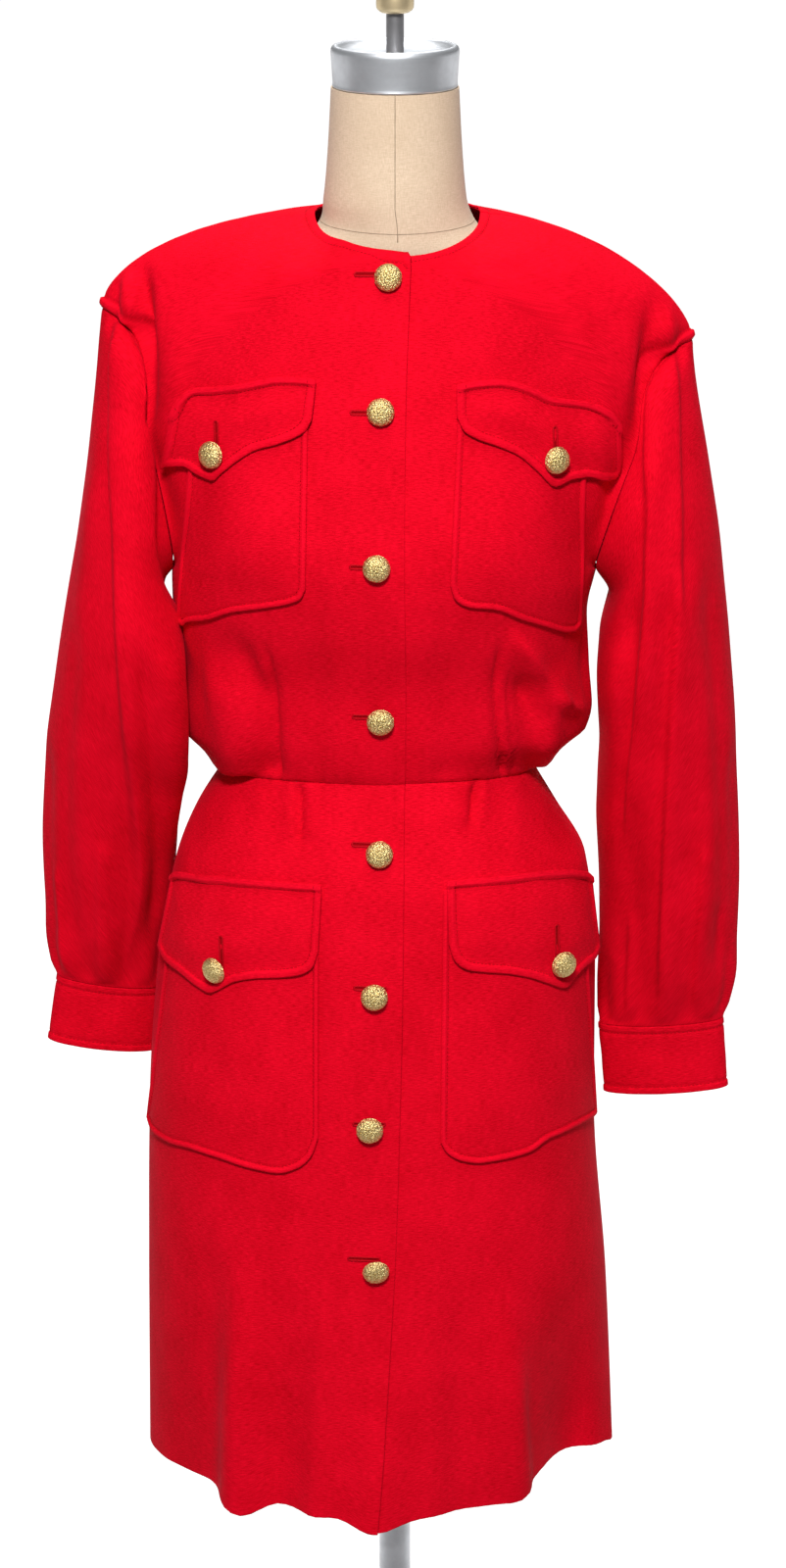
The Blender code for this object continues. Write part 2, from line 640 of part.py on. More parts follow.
SKIRT_FOLDS = {
    FRONT: table(
        FOLD_COLUMNS,
        (-0.0714, 0.968, -0.0735, 0.915, 0.0055, -0.0030, 0.50, 1, 0),
        (0.0600, 0.968, 0.0570, 0.925, 0.0055, -0.0030, 0.50, 1, 0),
        (-0.1150, 0.640, -0.1220, 0.385, 0.0160, 0.0170, 0.75, 0, 1),
        (-0.0860, 0.560, -0.0900, 0.385, 0.0130, -0.0050, 0.75, 0, 1),
        (0.0820, 0.600, 0.0990, 0.385, 0.0160, 0.0140, 0.75, 0, 1),
        (-0.0100, 0.560, -0.0140, 0.380, 0.0180, 0.0080, 0.80, 0, 1),
    ),
    BACK: table(
        FOLD_COLUMNS,
        (-0.0700, 0.960, -0.0780, 0.870, 0.0060, -0.0035, 0.50, 1, 0),
        (0.0550, 0.960, 0.0620, 0.870, 0.0060, -0.0035, 0.50, 1, 0),
        (-0.1100, 0.620, -0.1220, 0.385, 0.0170, 0.0110, 0.75, 0, 1),
        (-0.0500, 0.600, -0.0540, 0.385, 0.0180, -0.0080, 0.75, 0, 1),
        (0.0100, 0.640, 0.0080, 0.385, 0.0190, 0.0100, 0.75, 0, 1),
        (0.0600, 0.580, 0.0680, 0.385, 0.0160, -0.0070, 0.75, 0, 1),
        (0.1050, 0.600, 0.1150, 0.385, 0.0160, 0.0110, 0.75, 0, 1),
    ),
}
# Where the hem of the fronts swings back into a fold, and how much lower it hangs.
HEM_BACK = table(
    "x width back starts_z",
    (-0.1650, 0.0200, 0.0080, 0.560),
    (0.1360, 0.0250, 0.0320, 0.600),
)
HEM_DROP = table(
    "x drop",
    (-0.2100, 0.000),
    (-0.1500, -0.001),
    (-0.1190, 0.009),
    (-0.0900, 0.001),
    (-0.0500, 0.001),
    (-0.0160, 0.011),
    (0.0200, 0.005),
    (0.0600, 0.004),
    (0.0950, 0.002),
    (0.1250, -0.008),
    (0.1500, -0.007),
    (0.1900, -0.001),
)
HEM_Z, HEM_DROP_STARTS = 0.392, 0.500
BUST = {"x": 0.088, "z": 1.165, "width": 0.055, "height": 0.008}


def fold_heights(folds, grid):
    """How far the folds move each point of a grid out."""
    out = np.zeros(grid.shape[:-1])
    for k in range(len(folds["width"])):
        fold = {name: column[k] for name, column in folds.items()}
        along = (fold["top_z"] - grid[..., 2]) / (fold["top_z"] - fold["bottom_z"])
        line_x = fold["top_x"] + (fold["bottom_x"] - fold["top_x"]) * np.clip(along, 0, 1)
        shape = np.exp(-(((grid[..., 0] - line_x) / fold["width"]) ** 2))
        begins = 1.0 if fold["keep_top"] else ease(0.0, fold["fade"], along)
        ends = 1.0 if fold["keep_bottom"] else ease(1.0, 1.0 - fold["fade"], along)
        before = ease(-0.04, 0.0, along)
        out += fold["height"] * shape * begins * ends * before
    return out


def bust_heights(grid):
    out = np.zeros(grid.shape[:-1])
    for side in (RIGHT, LEFT):
        x = grid[..., 0] - CENTRE_X - side * BUST["x"]
        z = grid[..., 2] - BUST["z"]
        out += BUST["height"] * np.exp(-(x * x + z * z) / BUST["width"] ** 2)
    return out


def with_hem(grid):
    """A skirt front's grid, with its hem swung back and dropped where the tables say."""
    out = grid.copy()
    for x, width, back, starts_z in zip(*HEM_BACK.values()):
        grows = ease(starts_z, HEM_Z, grid[..., 2])
        out[..., 1] += back * grows * np.exp(-(((grid[..., 0] - x) / width) ** 2))
    drop = np.array([[read(HEM_DROP, "drop", x) for x in row] for row in grid[..., 0]])
    out[..., 2] -= drop * ease(HEM_DROP_STARTS, HEM_Z, grid[..., 2])
    return out


def lap_heights(grid):
    """The right front lies over the left one near its edge."""
    edges = np.array([[read(LAP, "edge_x", z) for z in row] for row in grid[..., 2]])
    lifts = np.array([[read(LAP, "lift", z) for z in row] for row in grid[..., 2]])
    return lifts * ease(LAP_NONE, LAP_FULL, edges - grid[..., 0])


def plan_normals(line, closed=False):
    """The level way out of a line, square to it as seen from above."""
    if closed:
        along = np.roll(line[:-1], -1, axis=0) - np.roll(line[:-1], 1, axis=0)
        along = np.concatenate([along, along[:1]])
        middle = line[:-1].mean(axis=0)
    else:
        along = np.gradient(line, axis=0)
        middle = np.array([CENTRE_X, 0.0, 0.0])
    normals = unit(np.stack([along[:, 1], -along[:, 0], 0 * along[:, 0]], axis=1))
    inside = ((line - middle) * normals).sum() < 0
    return -normals if inside else normals


def panel_normals(grid, halved):
    """A panel's normals. Its first row, at the waist, is level; a half's middle is square to X."""
    normals = outward(grid_normals(grid), grid)
    normals[0] = plan_normals(grid[0])
    if halved:
        middle = abs(grid[:, 0, 0] - CENTRE_X) < 1e-6
        normals[middle, 0, 0] = 0.0
    return unit(normals)


def with_relief(grid, heights, halved):
    return grid + panel_normals(grid, halved) * heights[..., None]


# ---- Panels of the body: their outer face and the way out of it ----


def side_normals(grid, side):
    """The way out at a side seam: level with X but for the seam's own slope."""
    up = np.gradient(grid[:, -1], axis=0)
    return unit(np.stack([side * up[:, 2], 0 * up[:, 2], -side * up[:, 0]], axis=1))


def shoulder_normals(line, side):
    out = np.gradient(line, axis=0)
    return unit(np.stack([-side * out[:, 2], 0 * out[:, 2], side * out[:, 0]], axis=1))


def bodice_rows(steps_below):
    """Rows of a bodice panel: evenly round the armhole, and closer by the waist."""
    below = ARM_ROW * np.linspace(0.0, 1.0, steps_below + 1) ** 1.35
    above = np.linspace(ARM_ROW, 1.0, ARM_STEPS + 1)
    return np.concatenate([below[:-1], above])


def bodice_panel(side, face, row_points, distances, steps_below):
    """A bodice panel's grid and normals, with the normals that its neighbours share at seams."""
    rows = bodice_rows(steps_below)
    grid = panel_grid(row_points, rows, distances)
    heights = fold_heights(BODICE_FOLDS[face], grid)
    heights[0] = 0.0
    if face == FRONT:
        heights += bust_heights(grid)
        if side == RIGHT:
            heights += lap_heights(grid)
    heights[:, -1] = 0.0
    heights[-1] = 0.0
    grid = with_relief(grid, heights, face == BACK)
    normals = panel_normals(grid, face == BACK)
    normals[:, -1] = side_normals(grid, side)
    normals[0, -1] = (side, 0.0, 0.0)
    normals[-1] = shoulder_normals(grid[-1], side)
    for k, row in enumerate(rows):
        if row >= ARM_ROW - 1e-9:
            normals[k, -1] = armhole_normal(side, face, arm_degrees(row), BODICE_TURN)
    grid[:, -1, 1] += face * SEAM_GAP / 2
    grid[-1, :, 1] += face * SEAM_GAP / 2
    grid[0, :, 2] += SEAM_GAP / 2
    return grid, normals


def skirt_panel(side, face, row_points, distances, steps):
    rows = np.linspace(0.0, 1.0, steps + 1) ** 1.15
    grid = panel_grid(row_points, rows, distances)
    heights = fold_heights(SKIRT_FOLDS[face], grid)
    heights[0] = 0.0
    if face == FRONT and side == RIGHT:
        heights += lap_heights(grid)
    heights[:, -1] = 0.0
    grid = with_relief(grid, heights, face == BACK)
    if face == FRONT:
        grid[:, :-1] = with_hem(grid)[:, :-1]
    normals = panel_normals(grid, face == BACK)
    normals[:, -1] = side_normals(grid[::-1], side)[::-1]
    normals[0, -1] = (side, 0.0, 0.0)
    grid[:, -1, 1] += face * SEAM_GAP / 2
    grid[0, :, 2] -= SEAM_GAP / 2
    return grid, normals


# ---- Making walls and solids ----


# Colour, roughness and metallic value of each finish.
FINISHES = {
    "wool": ((0.62, 0.004, 0.018), 0.80, 0.0),
    "gold": ((0.75, 0.53, 0.20), 0.35, 1.0),
    "linen": ((0.72, 0.60, 0.42), 0.85, 0.0),
    "satin_metal": ((0.62, 0.63, 0.64), 0.30, 1.0),
    "painted_iron": ((0.05, 0.05, 0.05), 0.50, 0.0),
}


def material(name, finish):
    colour, roughness, metallic = FINISHES[finish]
    made = bpy.data.materials.new(name)
    made.use_nodes = True
    shader = made.node_tree.nodes["Principled BSDF"]
    shader.inputs["Base Color"].default_value = (*colour, 1.0)
    shader.inputs["Roughness"].default_value = roughness
    shader.inputs["Metallic"].default_value = metallic
    return made


def add_object(name, points, faces, finish):
    mesh = bpy.data.meshes.new(name)
    mesh.from_pydata([tuple(p) for p in points], [], faces)
    edit = bmesh.new()
    edit.from_mesh(mesh)
    bmesh.ops.recalc_face_normals(edit, faces=edit.faces)
    bmesh.ops.triangulate(edit, faces=[f for f in edit.faces if len(f.verts) > 3])
    edit.to_mesh(mesh)
    edit.free()
    mesh.materials.append(material(name, finish))
    made = bpy.data.objects.new(name, mesh)
    bpy.context.collection.objects.link(made)
    return made


def add_wall(name, sheets, thickness, finish):
    """A wall of cloth. Each sheet is an outer grid and its normals; sheets that meet are one."""
    outer, inner, faces, known = [], [], [], {}

    def vertex(point, normal):
        key = tuple(np.round(point, 6))
        if key not in known:
            known[key] = len(outer)
            outer.append(point)
            inner.append(point - normal * thickness)
        return known[key]

    for grid, normals in sheets:
        rows, columns = grid.shape[:2]
        ids = [[vertex(grid[r, c], normals[r, c]) for c in range(columns)] for r in range(rows)]
        parted = along_rows(grid)
        for r in range(rows - 1):
            for c in range(columns - 1):
                a, b, d, e = ids[r][c], ids[r][c + 1], ids[r + 1][c], ids[r + 1][c + 1]
                faces += [(a, b, e), (a, e, d)] if parted[r, c] else [(a, b, d), (b, e, d)]
    return close_wall(name, outer, inner, faces, finish)


def close_wall(name, outer, inner, faces, finish):
    """A closed wall from matching outer and inner points: two faces and the rims between them."""
    count = len(outer)
    edges = {}
    for face in faces:
        for a, b in zip(face, face[1:] + face[:1]):
            edges[frozenset((a, b))] = None if frozenset((a, b)) in edges else (a, b)
    rims = [(b, a, a + count, b + count) for a, b in filter(None, edges.values())]
    lining = [tuple(i + count for i in reversed(face)) for face in faces]
    return add_object(name, outer + inner, faces + lining + rims, finish)


# ---- Sleeves and cuffs ----


def armhole_chord(side, degrees):
    """The armhole seam of a sleeve, straight between the ends of the bodice's rows."""
    step = 180.0 / ARM_STEPS
    low = math.floor(degrees / step + 1e-9)
    share = degrees / step - low
    ends = []
    for k in (low, low + 1):
        turn = (k * step) % 360.0
        face = FRONT if turn <= 180 else BACK
        ends.append(armhole(side, face, turn if face == FRONT else 360 - turn))
    return ends[0] * (1 - share) + ends[1] * share


def sleeve_normal(side, degrees):
    front = degrees % 360.0 <= 180.0
    face, angle = (FRONT, degrees % 360.0) if front else (BACK, 360.0 - degrees)
    return armhole_normal(side, face, angle, SLEEVE_TURN)


def ring(outer, inner, depth, angles):
    """A level or slanted oval between two ends, starting at its outer end towards the front."""
    outer, inner = np.array(outer), np.array(inner)
    turn = np.radians(angles)[:, None]
    middle, half = (outer + inner) / 2, (outer - inner) / 2
    return middle + half * np.cos(turn) + np.array([0.0, -depth, 0.0]) * np.sin(turn)


def sleeve_heights(side, place, angles):
    folds = SLEEVE_FOLDS[side]
    out = np.zeros(len(angles))
    for k in range(len(folds["width"])):
        fold = {name: column[k] for name, column in folds.items()}
        along = (place - fold["ring_top"]) / (fold["ring_low"] - fold["ring_top"])
        angle = fold["angle_top"] + (fold["angle_low"] - fold["angle_top"]) * np.clip(along, 0, 1)
        apart = (angles - angle + 180.0) % 360.0 - 180.0
        fades = ease(0.0, 0.35, along) * ease(1.0, 0.85, along)
        out += fold["height"] * fades * np.exp(-((apart / fold["width"]) ** 2))
    pleats = CUFF_PLEATS
    gathered = ease(pleats["starts"], pleats["full"], place) * ease(1.0, pleats["ends"], place)
    waves = np.cos(np.radians(angles) * pleats["count"])
    return out + pleats["height"] * gathered * waves


def sleeve_sheet(side, rings):
    rows = SLEEVE[side]
    angles = np.linspace(0.0, 360.0, SLEEVE_COLUMNS + 1)
    seam = np.array([armhole_chord(side, a) for a in angles])
    plain = ring_at(rows, 0.0, angles)
    reach = 0.09 + 0.11 * (1 + np.cos(np.radians(angles)))
    grid = []
    for place in rings:
        keeps = 1 - ease(0.0, 1.0, place / reach)
        grid.append(ring_at(rows, place, angles) + (seam - plain) * keeps[:, None])
    grid = np.array(grid)
    middle = grid.mean(axis=1, keepdims=True)
    normals = grid_normals(grid, wrap=True)
    if ((grid - middle) * normals).sum(axis=-1).mean() < 0:
        normals = -normals
    heights = np.array([sleeve_heights(side, place, angles) for place in rings])
    grid = grid + normals * heights[..., None]
    normals = grid_normals(grid, wrap=True)
    if ((grid - middle) * normals).sum(axis=-1).mean() < 0:
        normals = -normals
    normals[0] = [sleeve_normal(side, a) for a in angles]
    normals[-1] = plan_normals(grid[-1], closed=True)
    away = unit(np.cross(seam[len(seam) // 4] - seam[0], seam[len(seam) // 2] - seam[0]))
    away *= side * np.sign(away[0])
    grid[0] += away * SEAM_GAP * 1.6
    grid[-1, :, 2] += SEAM_GAP
    return grid, normals


def ring_at(rows, place, angles):
    outer = [read(rows, "outer_" + axis, place) for axis in "xyz"]
    inner = [read(rows, "inner_" + axis, place) for axis in "xyz"]
    return ring(outer, inner, read(rows, "depth", place), angles)


def cuff_sheet(side):
    angles = np.linspace(0.0, 360.0, SLEEVE_COLUMNS + 1)
    top = ring_at(SLEEVE[side], 1.0, angles)
    foot = CUFF_FOOT[side]
    low = ring(foot["outer"], foot["inner"], foot["depth"], angles)
    grid = np.array([top + (low - top) * share for share in (0.0, 0.5, 1.0)])
    return grid, np.array([plan_normals(line, closed=True) for line in grid])


# ---- Pockets, flaps and buttons lie on a front ----


def along_rows(grid):
    """For each facet of four points, whether it is parted from its first point to its last."""
    first = np.linalg.norm(grid[1:, 1:] - grid[:-1, :-1], axis=-1)
    second = np.linalg.norm(grid[1:, :-1] - grid[:-1, 1:], axis=-1)
    return first <= second


def closer(values, parted, parts=8):
    """Values given at a grid's points, read on the same facets at more points."""
    rows, columns = values.shape[:2]
    up = np.linspace(0, rows - 1, (rows - 1) * parts + 1)[:, None, None]
    across = np.linspace(0, columns - 1, (columns - 1) * parts + 1)[None, :, None]
    r = np.minimum(up.astype(int), rows - 2)
    c = np.minimum(across.astype(int), columns - 2)
    s, t = up - r, across - c
    r, c = r[..., 0], c[..., 0]
    a, b, d, e = values[r, c], values[r, c + 1], values[r + 1, c], values[r + 1, c + 1]
    first = np.where(s > t, a + s * (d - a) + t * (e - d), a + t * (b - a) + s * (e - b))
    near, far = a + s * (d - a) + t * (b - a), e + (1 - s) * (b - e) + (1 - t) * (d - e)
    second = np.where(s + t < 1, near, far)
    return np.where(parted[r, c][..., None], first, second)


def close_panel(panel):
    parted = along_rows(panel[0])
    return [closer(part, parted) for part in panel]


def place_on(close, side, x, z):
    """The point of a panel that is seen at x and z from the front, and the way out there."""
    grid, normals = close
    both = np.concatenate([grid, normals], axis=2)
    found = []
    for line in both:
        order = side * line[:, 0]
        found.append([np.interp(side * x, order, line[:, axis]) for axis in range(6)])
    found = np.array(found)
    kept = np.concatenate([[True], np.diff(found[:, 2]) > 1e-6])
    found = found[kept] if found[-1, 2] > found[0, 2] else found[::-1]
    point = np.array([np.interp(z, found[:, 2], found[:, axis]) for axis in range(6)])
    point[0], point[2] = x, z
    return point[:3], unit(point[3:])


def inside_outline(loop, x, z):
    """Whether a point lies inside a closed loop of points."""
    odd = False
    for (x0, z0), (x1, z1) in zip(loop, loop[1:] + loop[:1]):
        if (z0 > z) != (z1 > z) and x < x0 + (x1 - x0) * (z - z0) / (z1 - z0):
            odd = not odd
    return odd


def outline_loop(outline):
    tops = list(zip(outline["top_x"], outline["top_z"]))
    lows = list(zip(outline["low_x"], outline["low_z"]))
    return tops + lows[::-1]


def flap_relief(outline, side, x, z):
    """The raised tuck along a flap's top, the groove below it and the raised lower edge."""
    order = side * outline["top_x"]
    below_top = np.interp(side * x, order, outline["top_z"]) - z
    above_low = z - np.interp(side * x, side * outline["low_x"], outline["low_z"])
    tuck = TUCK_HEIGHT * ease(TUCK_DEPTH + CREASE, TUCK_DEPTH, below_top)
    return max(tuck, EDGE_HEIGHT * ease(EDGE_DEPTH + CREASE, EDGE_DEPTH, above_low))


def flap_lines(outline):
    """Lines along a flap where its tuck and its raised edge begin and end."""
    lines = []
    for end, sign, depth in (("top", -1, TUCK_DEPTH), ("low", 1, EDGE_DEPTH)):
        for far in (depth, depth + CREASE):
            lines.append(list(zip(outline[end + "_x"], outline[end + "_z"] + sign * far)))
    return lines


def add_laid(name, panel, side, outline, lines, relief, lift, thickness, finish):
    """A piece that lies on a panel: the panel's own facets inside an outline, moved out."""
    grid = panel[0]
    parted = along_rows(grid)
    close = close_panel(panel)
    loop = outline_loop(outline)
    low, high = np.min(loop, axis=0) - REACH, np.max(loop, axis=0) + REACH
    points, edges = [], []

    def add_line(line, closed=False):
        first = len(points)
        points.extend(Vector((float(x), float(z))) for x, z in line)
        edges.extend((k, k + 1) for k in range(first, len(points) - 1))
        if closed:
            edges.append((len(points) - 1, first))

    add_line(loop, closed=True)
    for line in lines:
        add_line(line)
    flat = grid[..., [0, 2]]
    for line in list(flat) + list(np.swapaxes(flat, 0, 1)):
        near = (line > low).all(axis=1) & (line < high).all(axis=1)
        if near.sum() > 1:
            add_line(line[near])
    for r, c in np.ndindex(parted.shape):
        ends = flat[r, c], flat[r + 1, c + 1]
        if not parted[r, c]:
            ends = flat[r + 1, c], flat[r, c + 1]
        if all(((end > low) & (end < high)).all() for end in ends):
            add_line(ends)
    cut = geometry.delaunay_2d_cdt(points, edges, [], 0, MERGE)
    flat_points, triangles = cut[0], cut[2]
    kept, known = [], {}
    for triangle in triangles:
        middle = sum((flat_points[i] for i in triangle), Vector((0.0, 0.0))) / 3
        if inside_outline(loop, middle.x, middle.y):
            kept.append(tuple(known.setdefault(i, len(known)) for i in triangle))
    outer, inner = [], []
    for i in known:
        x, z = flat_points[i]
        point, normal = place_on(close, side, x, z)
        out = lift + thickness + (flap_relief(outline, side, x, z) if relief else 0.0)
        outer.append(point + normal * out)
        inner.append(point + normal * (out - thickness))
    return close_wall(name, outer, inner, kept, finish)


def turned(profile, segments):
    """A solid turned about Z from (radius, height) pairs that start and end on the axis."""
    points, faces = [(0.0, 0.0, profile[0][1])], []
    for radius, height in profile[1:-1]:
        for k in range(segments):
            angle = 2 * math.pi * k / segments
            points.append((radius * math.cos(angle), radius * math.sin(angle), height))
    points.append((0.0, 0.0, profile[-1][1]))
    last = len(points) - 1
    count = len(profile) - 2
    for k in range(segments):
        after = (k + 1) % segments
        faces.append((0, 1 + after, 1 + k))
        faces.append((last, last - segments + k, last - segments + after))
        for level in range(count - 1):
            low, high = 1 + level * segments, 1 + (level + 1) * segments
            faces.append((low + k, low + after, high + after, high + k))
    return points, faces


def shade(made):
    made.data.shade_smooth()
    made.data.set_sharp_from_angle(angle=math.radians(SHARP_DEGREES))


def add_turned(name, profile, segments, finish):
    points, faces = turned(profile, segments)
    made = add_object(name, points, faces, finish)
    shade(made)
    return made


def stacked(profile, foot):
    """A profile table as pairs, with its foot at a height."""
    return list(zip(profile["radius"], foot + profile["height"]))


def rod_profile(radius, low, high):
    return [(0.0, low), (radius, low), (radius, high), (0.0, high)]


def add_button(name, point, normal, lean_side, lean_down, finish):
    """A domed shank button that stands on the cloth at point, with its shank's foot above it."""
    dome = [
        (BUTTON_RADIUS * radius, SHANK_HEIGHT + BUTTON_HEIGHT * height)
        for radius, height in BUTTON_DOME
    ]
    profile = [(0.0, 0.0), (SHANK_RADIUS, 0.0), (SHANK_RADIUS, SHANK_HEIGHT)] + dome
    made = add_turned(name, profile, BUTTON_SEGMENTS, finish)
    up = Vector(normal)
    turn = up.to_track_quat("Z", "Y")
    lean = Euler((math.radians(lean_down), math.radians(lean_side), 0.0)).to_quaternion()
    reach = SHANK_RADIUS * math.sin(math.radians(math.hypot(lean_side, lean_down)))
    made.rotation_mode = "QUATERNION"
    made.rotation_quaternion = turn @ lean
    made.location = Vector(point) + up * (2 * SEAM_GAP + reach)
    return made


# ---- The dress form and its stand ----


def form_rings():
    """The torso's rings from the bottom up: the front and back halves have their own depths."""
    angle = np.linspace(0.0, 2 * math.pi, FORM_COLUMNS, endpoint=False)
    cosine, sine = np.cos(angle), np.sin(angle)
    lines = []
    for k, height in enumerate(FORM["height"]):
        level = {name: column[k] for name, column in FORM.items()}
        power = 2 / level["square"]
        depth = np.where(sine < 0, level["front"], level["back"])
        x = level["middle_x"] + level["half_width"] * np.sign(cosine) * abs(cosine) ** power
        y = depth * np.sign(sine) * abs(sine) ** power
        lines.append(np.stack([x, y, np.full(FORM_COLUMNS, height)], axis=1))
    return lines


def add_form(finish):
    lines = form_rings()
    faces = []
    count = FORM_COLUMNS
    for r in range(len(lines) - 1):
        low, high = r * count, (r + 1) * count
        for k in range(count):
            after = (k + 1) % count
            faces.append((low + k, low + after, high + after, high + k))
    top = (len(lines) - 1) * count
    faces.append(tuple(reversed(range(count))))
    faces.append(tuple(range(top, top + count)))
    shade(add_object("form_torso", np.concatenate(lines), faces, finish))


def main():
    for old in list(bpy.data.objects):
        bpy.data.objects.remove(old)
    faces = {}
    for side, word in ((RIGHT, "right"), (LEFT, "left")):
        chest = bodice_panel(side, FRONT, lambda row: front_row(side, row), front_distances, 8)
        hip = skirt_panel(side, FRONT, lambda row: skirt_front_row(side, row), front_distances, 10)
        faces[side] = {"chest": close_panel(chest), "hip": close_panel(hip)}
        add_wall("bodice_front_" + word, [chest], WALL, "wool")
        add_wall("skirt_front_" + word, [hip], WALL, "wool")
        add_wall("sleeve_" + word, [sleeve_sheet(side, SLEEVE_RINGS)], WALL, "wool")
        add_wall("cuff_" + word, [cuff_sheet(side)], CUFF_WALL, "wool")

        for where, under in (("chest", chest), ("hip", hip)):
            pocket, flap = POCKETS[where][side], FLAPS[where][side]
            name = f"{where}_pocket_{word}"
            add_laid(name, under, side, pocket, [], False, LAY_GAP, POCKET_WALL, "wool")
            name = f"{where}_flap_{word}"
            lines = flap_lines(flap)
            add_laid(name, under, side, flap, lines, True, FLAP_LIFT, FLAP_WALL, "wool")

    backs = [
        bodice_panel(s, BACK, lambda row, s=s: back_row(s, row), even(BACK_COLUMNS), 8)
        for s in (RIGHT, LEFT)
    ]
    add_wall("bodice_back", backs, WALL, "wool")
    backs = [
        skirt_panel(s, BACK, lambda row, s=s: skirt_half(s, BACK, row), even(BACK_COLUMNS), 10)
        for s in (RIGHT, LEFT)
    ]
    add_wall("skirt_back", backs, WALL, "wool")

    for k in range(len(FRONT_BUTTONS["x"])):
        spot = {name: column[k] for name, column in FRONT_BUTTONS.items()}
        under = faces[RIGHT]["chest" if spot["z"] > BODICE["front_z"][0] else "hip"]
        point, normal = place_on(under, RIGHT, spot["x"], spot["z"])
        name = f"front_button_{k + 1}"
        add_button(name, point, normal, spot["lean_side"], spot["lean_down"], "gold")
    for name, spot in FLAP_BUTTONS.items():
        where, _, word = name.split("_")
        side = RIGHT if word == "right" else LEFT
        flap = FLAPS[where][side]
        point, normal = place_on(faces[side][where], side, spot["x"], spot["z"])
        raised = flap_relief(flap, side, spot["x"], spot["z"])
        point = point + normal * (FLAP_LIFT + FLAP_WALL + raised)
        add_button(name, point, normal, spot["lean_side"], spot["lean_down"], "gold")

    add_form("linen")
    add_turned("form_neck_cap", stacked(CAP_PROFILE, NECK_TOP_Z), 32, "satin_metal")
    rod = rod_profile(ROD_RADIUS, DISH_Z + SEAM_GAP, ROD_TOP_Z)
    add_turned("form_rod", rod, 16, "satin_metal")
    add_turned("form_finial", stacked(FINIAL_PROFILE, ROD_TOP_Z + SEAM_GAP), 20, "gold")
    pole = rod_profile(POLE_RADIUS, BASE_HEIGHT + SEAM_GAP, FORM["height"][0] - SEAM_GAP)
    add_turned("stand_pole", pole, 20, "satin_metal")
    add_turned("stand_base", stacked(BASE_PROFILE, 0.0), 40, "painted_iron")


main()
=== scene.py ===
"""The looks of the coat dress: red wool with sewn detail, gold buttons, and the dress form.

Metres, +Z up, the front faces -Y. Only the written tables are in millimetres. The cloth pieces
follow the same rows and sections as the solids they stand for, read far more closely, with their
folds, welts and edges shaped in the points.
"""

import math

import bpy
import numpy as np
from mathutils import Euler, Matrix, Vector
from mathutils.bvhtree import BVHTree


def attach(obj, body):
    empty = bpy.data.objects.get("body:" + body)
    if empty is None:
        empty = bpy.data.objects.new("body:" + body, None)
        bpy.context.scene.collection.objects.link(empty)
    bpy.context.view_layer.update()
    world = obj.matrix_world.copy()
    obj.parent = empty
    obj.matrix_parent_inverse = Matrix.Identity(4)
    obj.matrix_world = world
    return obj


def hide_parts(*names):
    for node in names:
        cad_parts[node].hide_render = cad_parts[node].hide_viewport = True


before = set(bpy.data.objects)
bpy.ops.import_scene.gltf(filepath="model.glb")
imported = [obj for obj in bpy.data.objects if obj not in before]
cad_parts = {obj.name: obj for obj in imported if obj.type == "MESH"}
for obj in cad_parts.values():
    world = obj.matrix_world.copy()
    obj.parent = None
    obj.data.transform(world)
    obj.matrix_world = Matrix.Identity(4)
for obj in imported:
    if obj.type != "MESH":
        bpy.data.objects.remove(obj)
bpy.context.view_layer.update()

RIGHT, LEFT = -1, 1
FRONT, BACK = -1, 1

# ---- Sizes shared with the solids ----
WALL, POCKET_WALL, FLAP_WALL = 0.0018, 0.0014, 0.0018
SEAM_GAP, LAY_GAP = 0.0003, 0.0005

CENTRE_X = -0.010
UNDERLAP = 0.040
LAP_FULL, LAP_NONE = 0.048, 0.068
LAP_PRESSED, LAP_PRESSED_WIDTH = 0.0010, 0.014

NECK_X = 0.0018
NECK_HALF_WIDTH = 0.0624
NECK_FRONT, NECK_BACK = 0.060, 0.055
NECK_SIDE_Z, NECK_FRONT_Z, NECK_BACK_Z = 1.392, 1.368, 1.393

# The rows of a bodice panel are numbered from 0 at the waist to 1 at the shoulder seam.
# The side seam ends at the underarm, and the neckline starts at the neck row.
ARM_ROW = 0.50
NECK_ROW = {FRONT: 0.75, BACK: 0.875}

BUTTON_RADIUS, BUTTON_HEIGHT = 0.0103, 0.0072
SHANK_RADIUS, SHANK_HEIGHT = 0.0028, 0.0026
BUTTON_SEGMENTS = 64
DENTS, DENT_DEPTH, DENT_SINK = 90, 0.00055, 0.00040
BUTTONHOLE_HALF_WIDTH, BUTTONHOLE_CORD = 0.0014, 0.00080

NECK_TOP_Z = 1.486
DISH_Z = NECK_TOP_Z + 0.025
ROD_RADIUS, ROD_TOP_Z = 0.0066, 1.5408
POLE_RADIUS = 0.0125
BASE_HEIGHT = 0.030


# The columns that aren't lengths: places from 0 to 1, angles, powers and marks.
PLAIN_COLUMNS = set(
    "row ring turn square square_right square_left fade keep_top keep_bottom ring_top ring_low "
    "angle_top angle_low spread lean lean_side lean_down power".split()
)


def table(header, rows=""):
    """A text table as a dictionary of its named columns, with its millimetres turned to metres."""
    if not rows:
        header, rows = header.strip().split("\n", 1)
    numbers = np.array([line.split() for line in rows.strip().splitlines()], float)
    named = zip(header.split(), numbers.T)
    return {name: column if name in PLAIN_COLUMNS else column / 1000 for name, column in named}


def each(rows):
    """A table's rows, each as a dictionary."""
    return [dict(zip(rows, values)) for values in zip(*rows.values())]


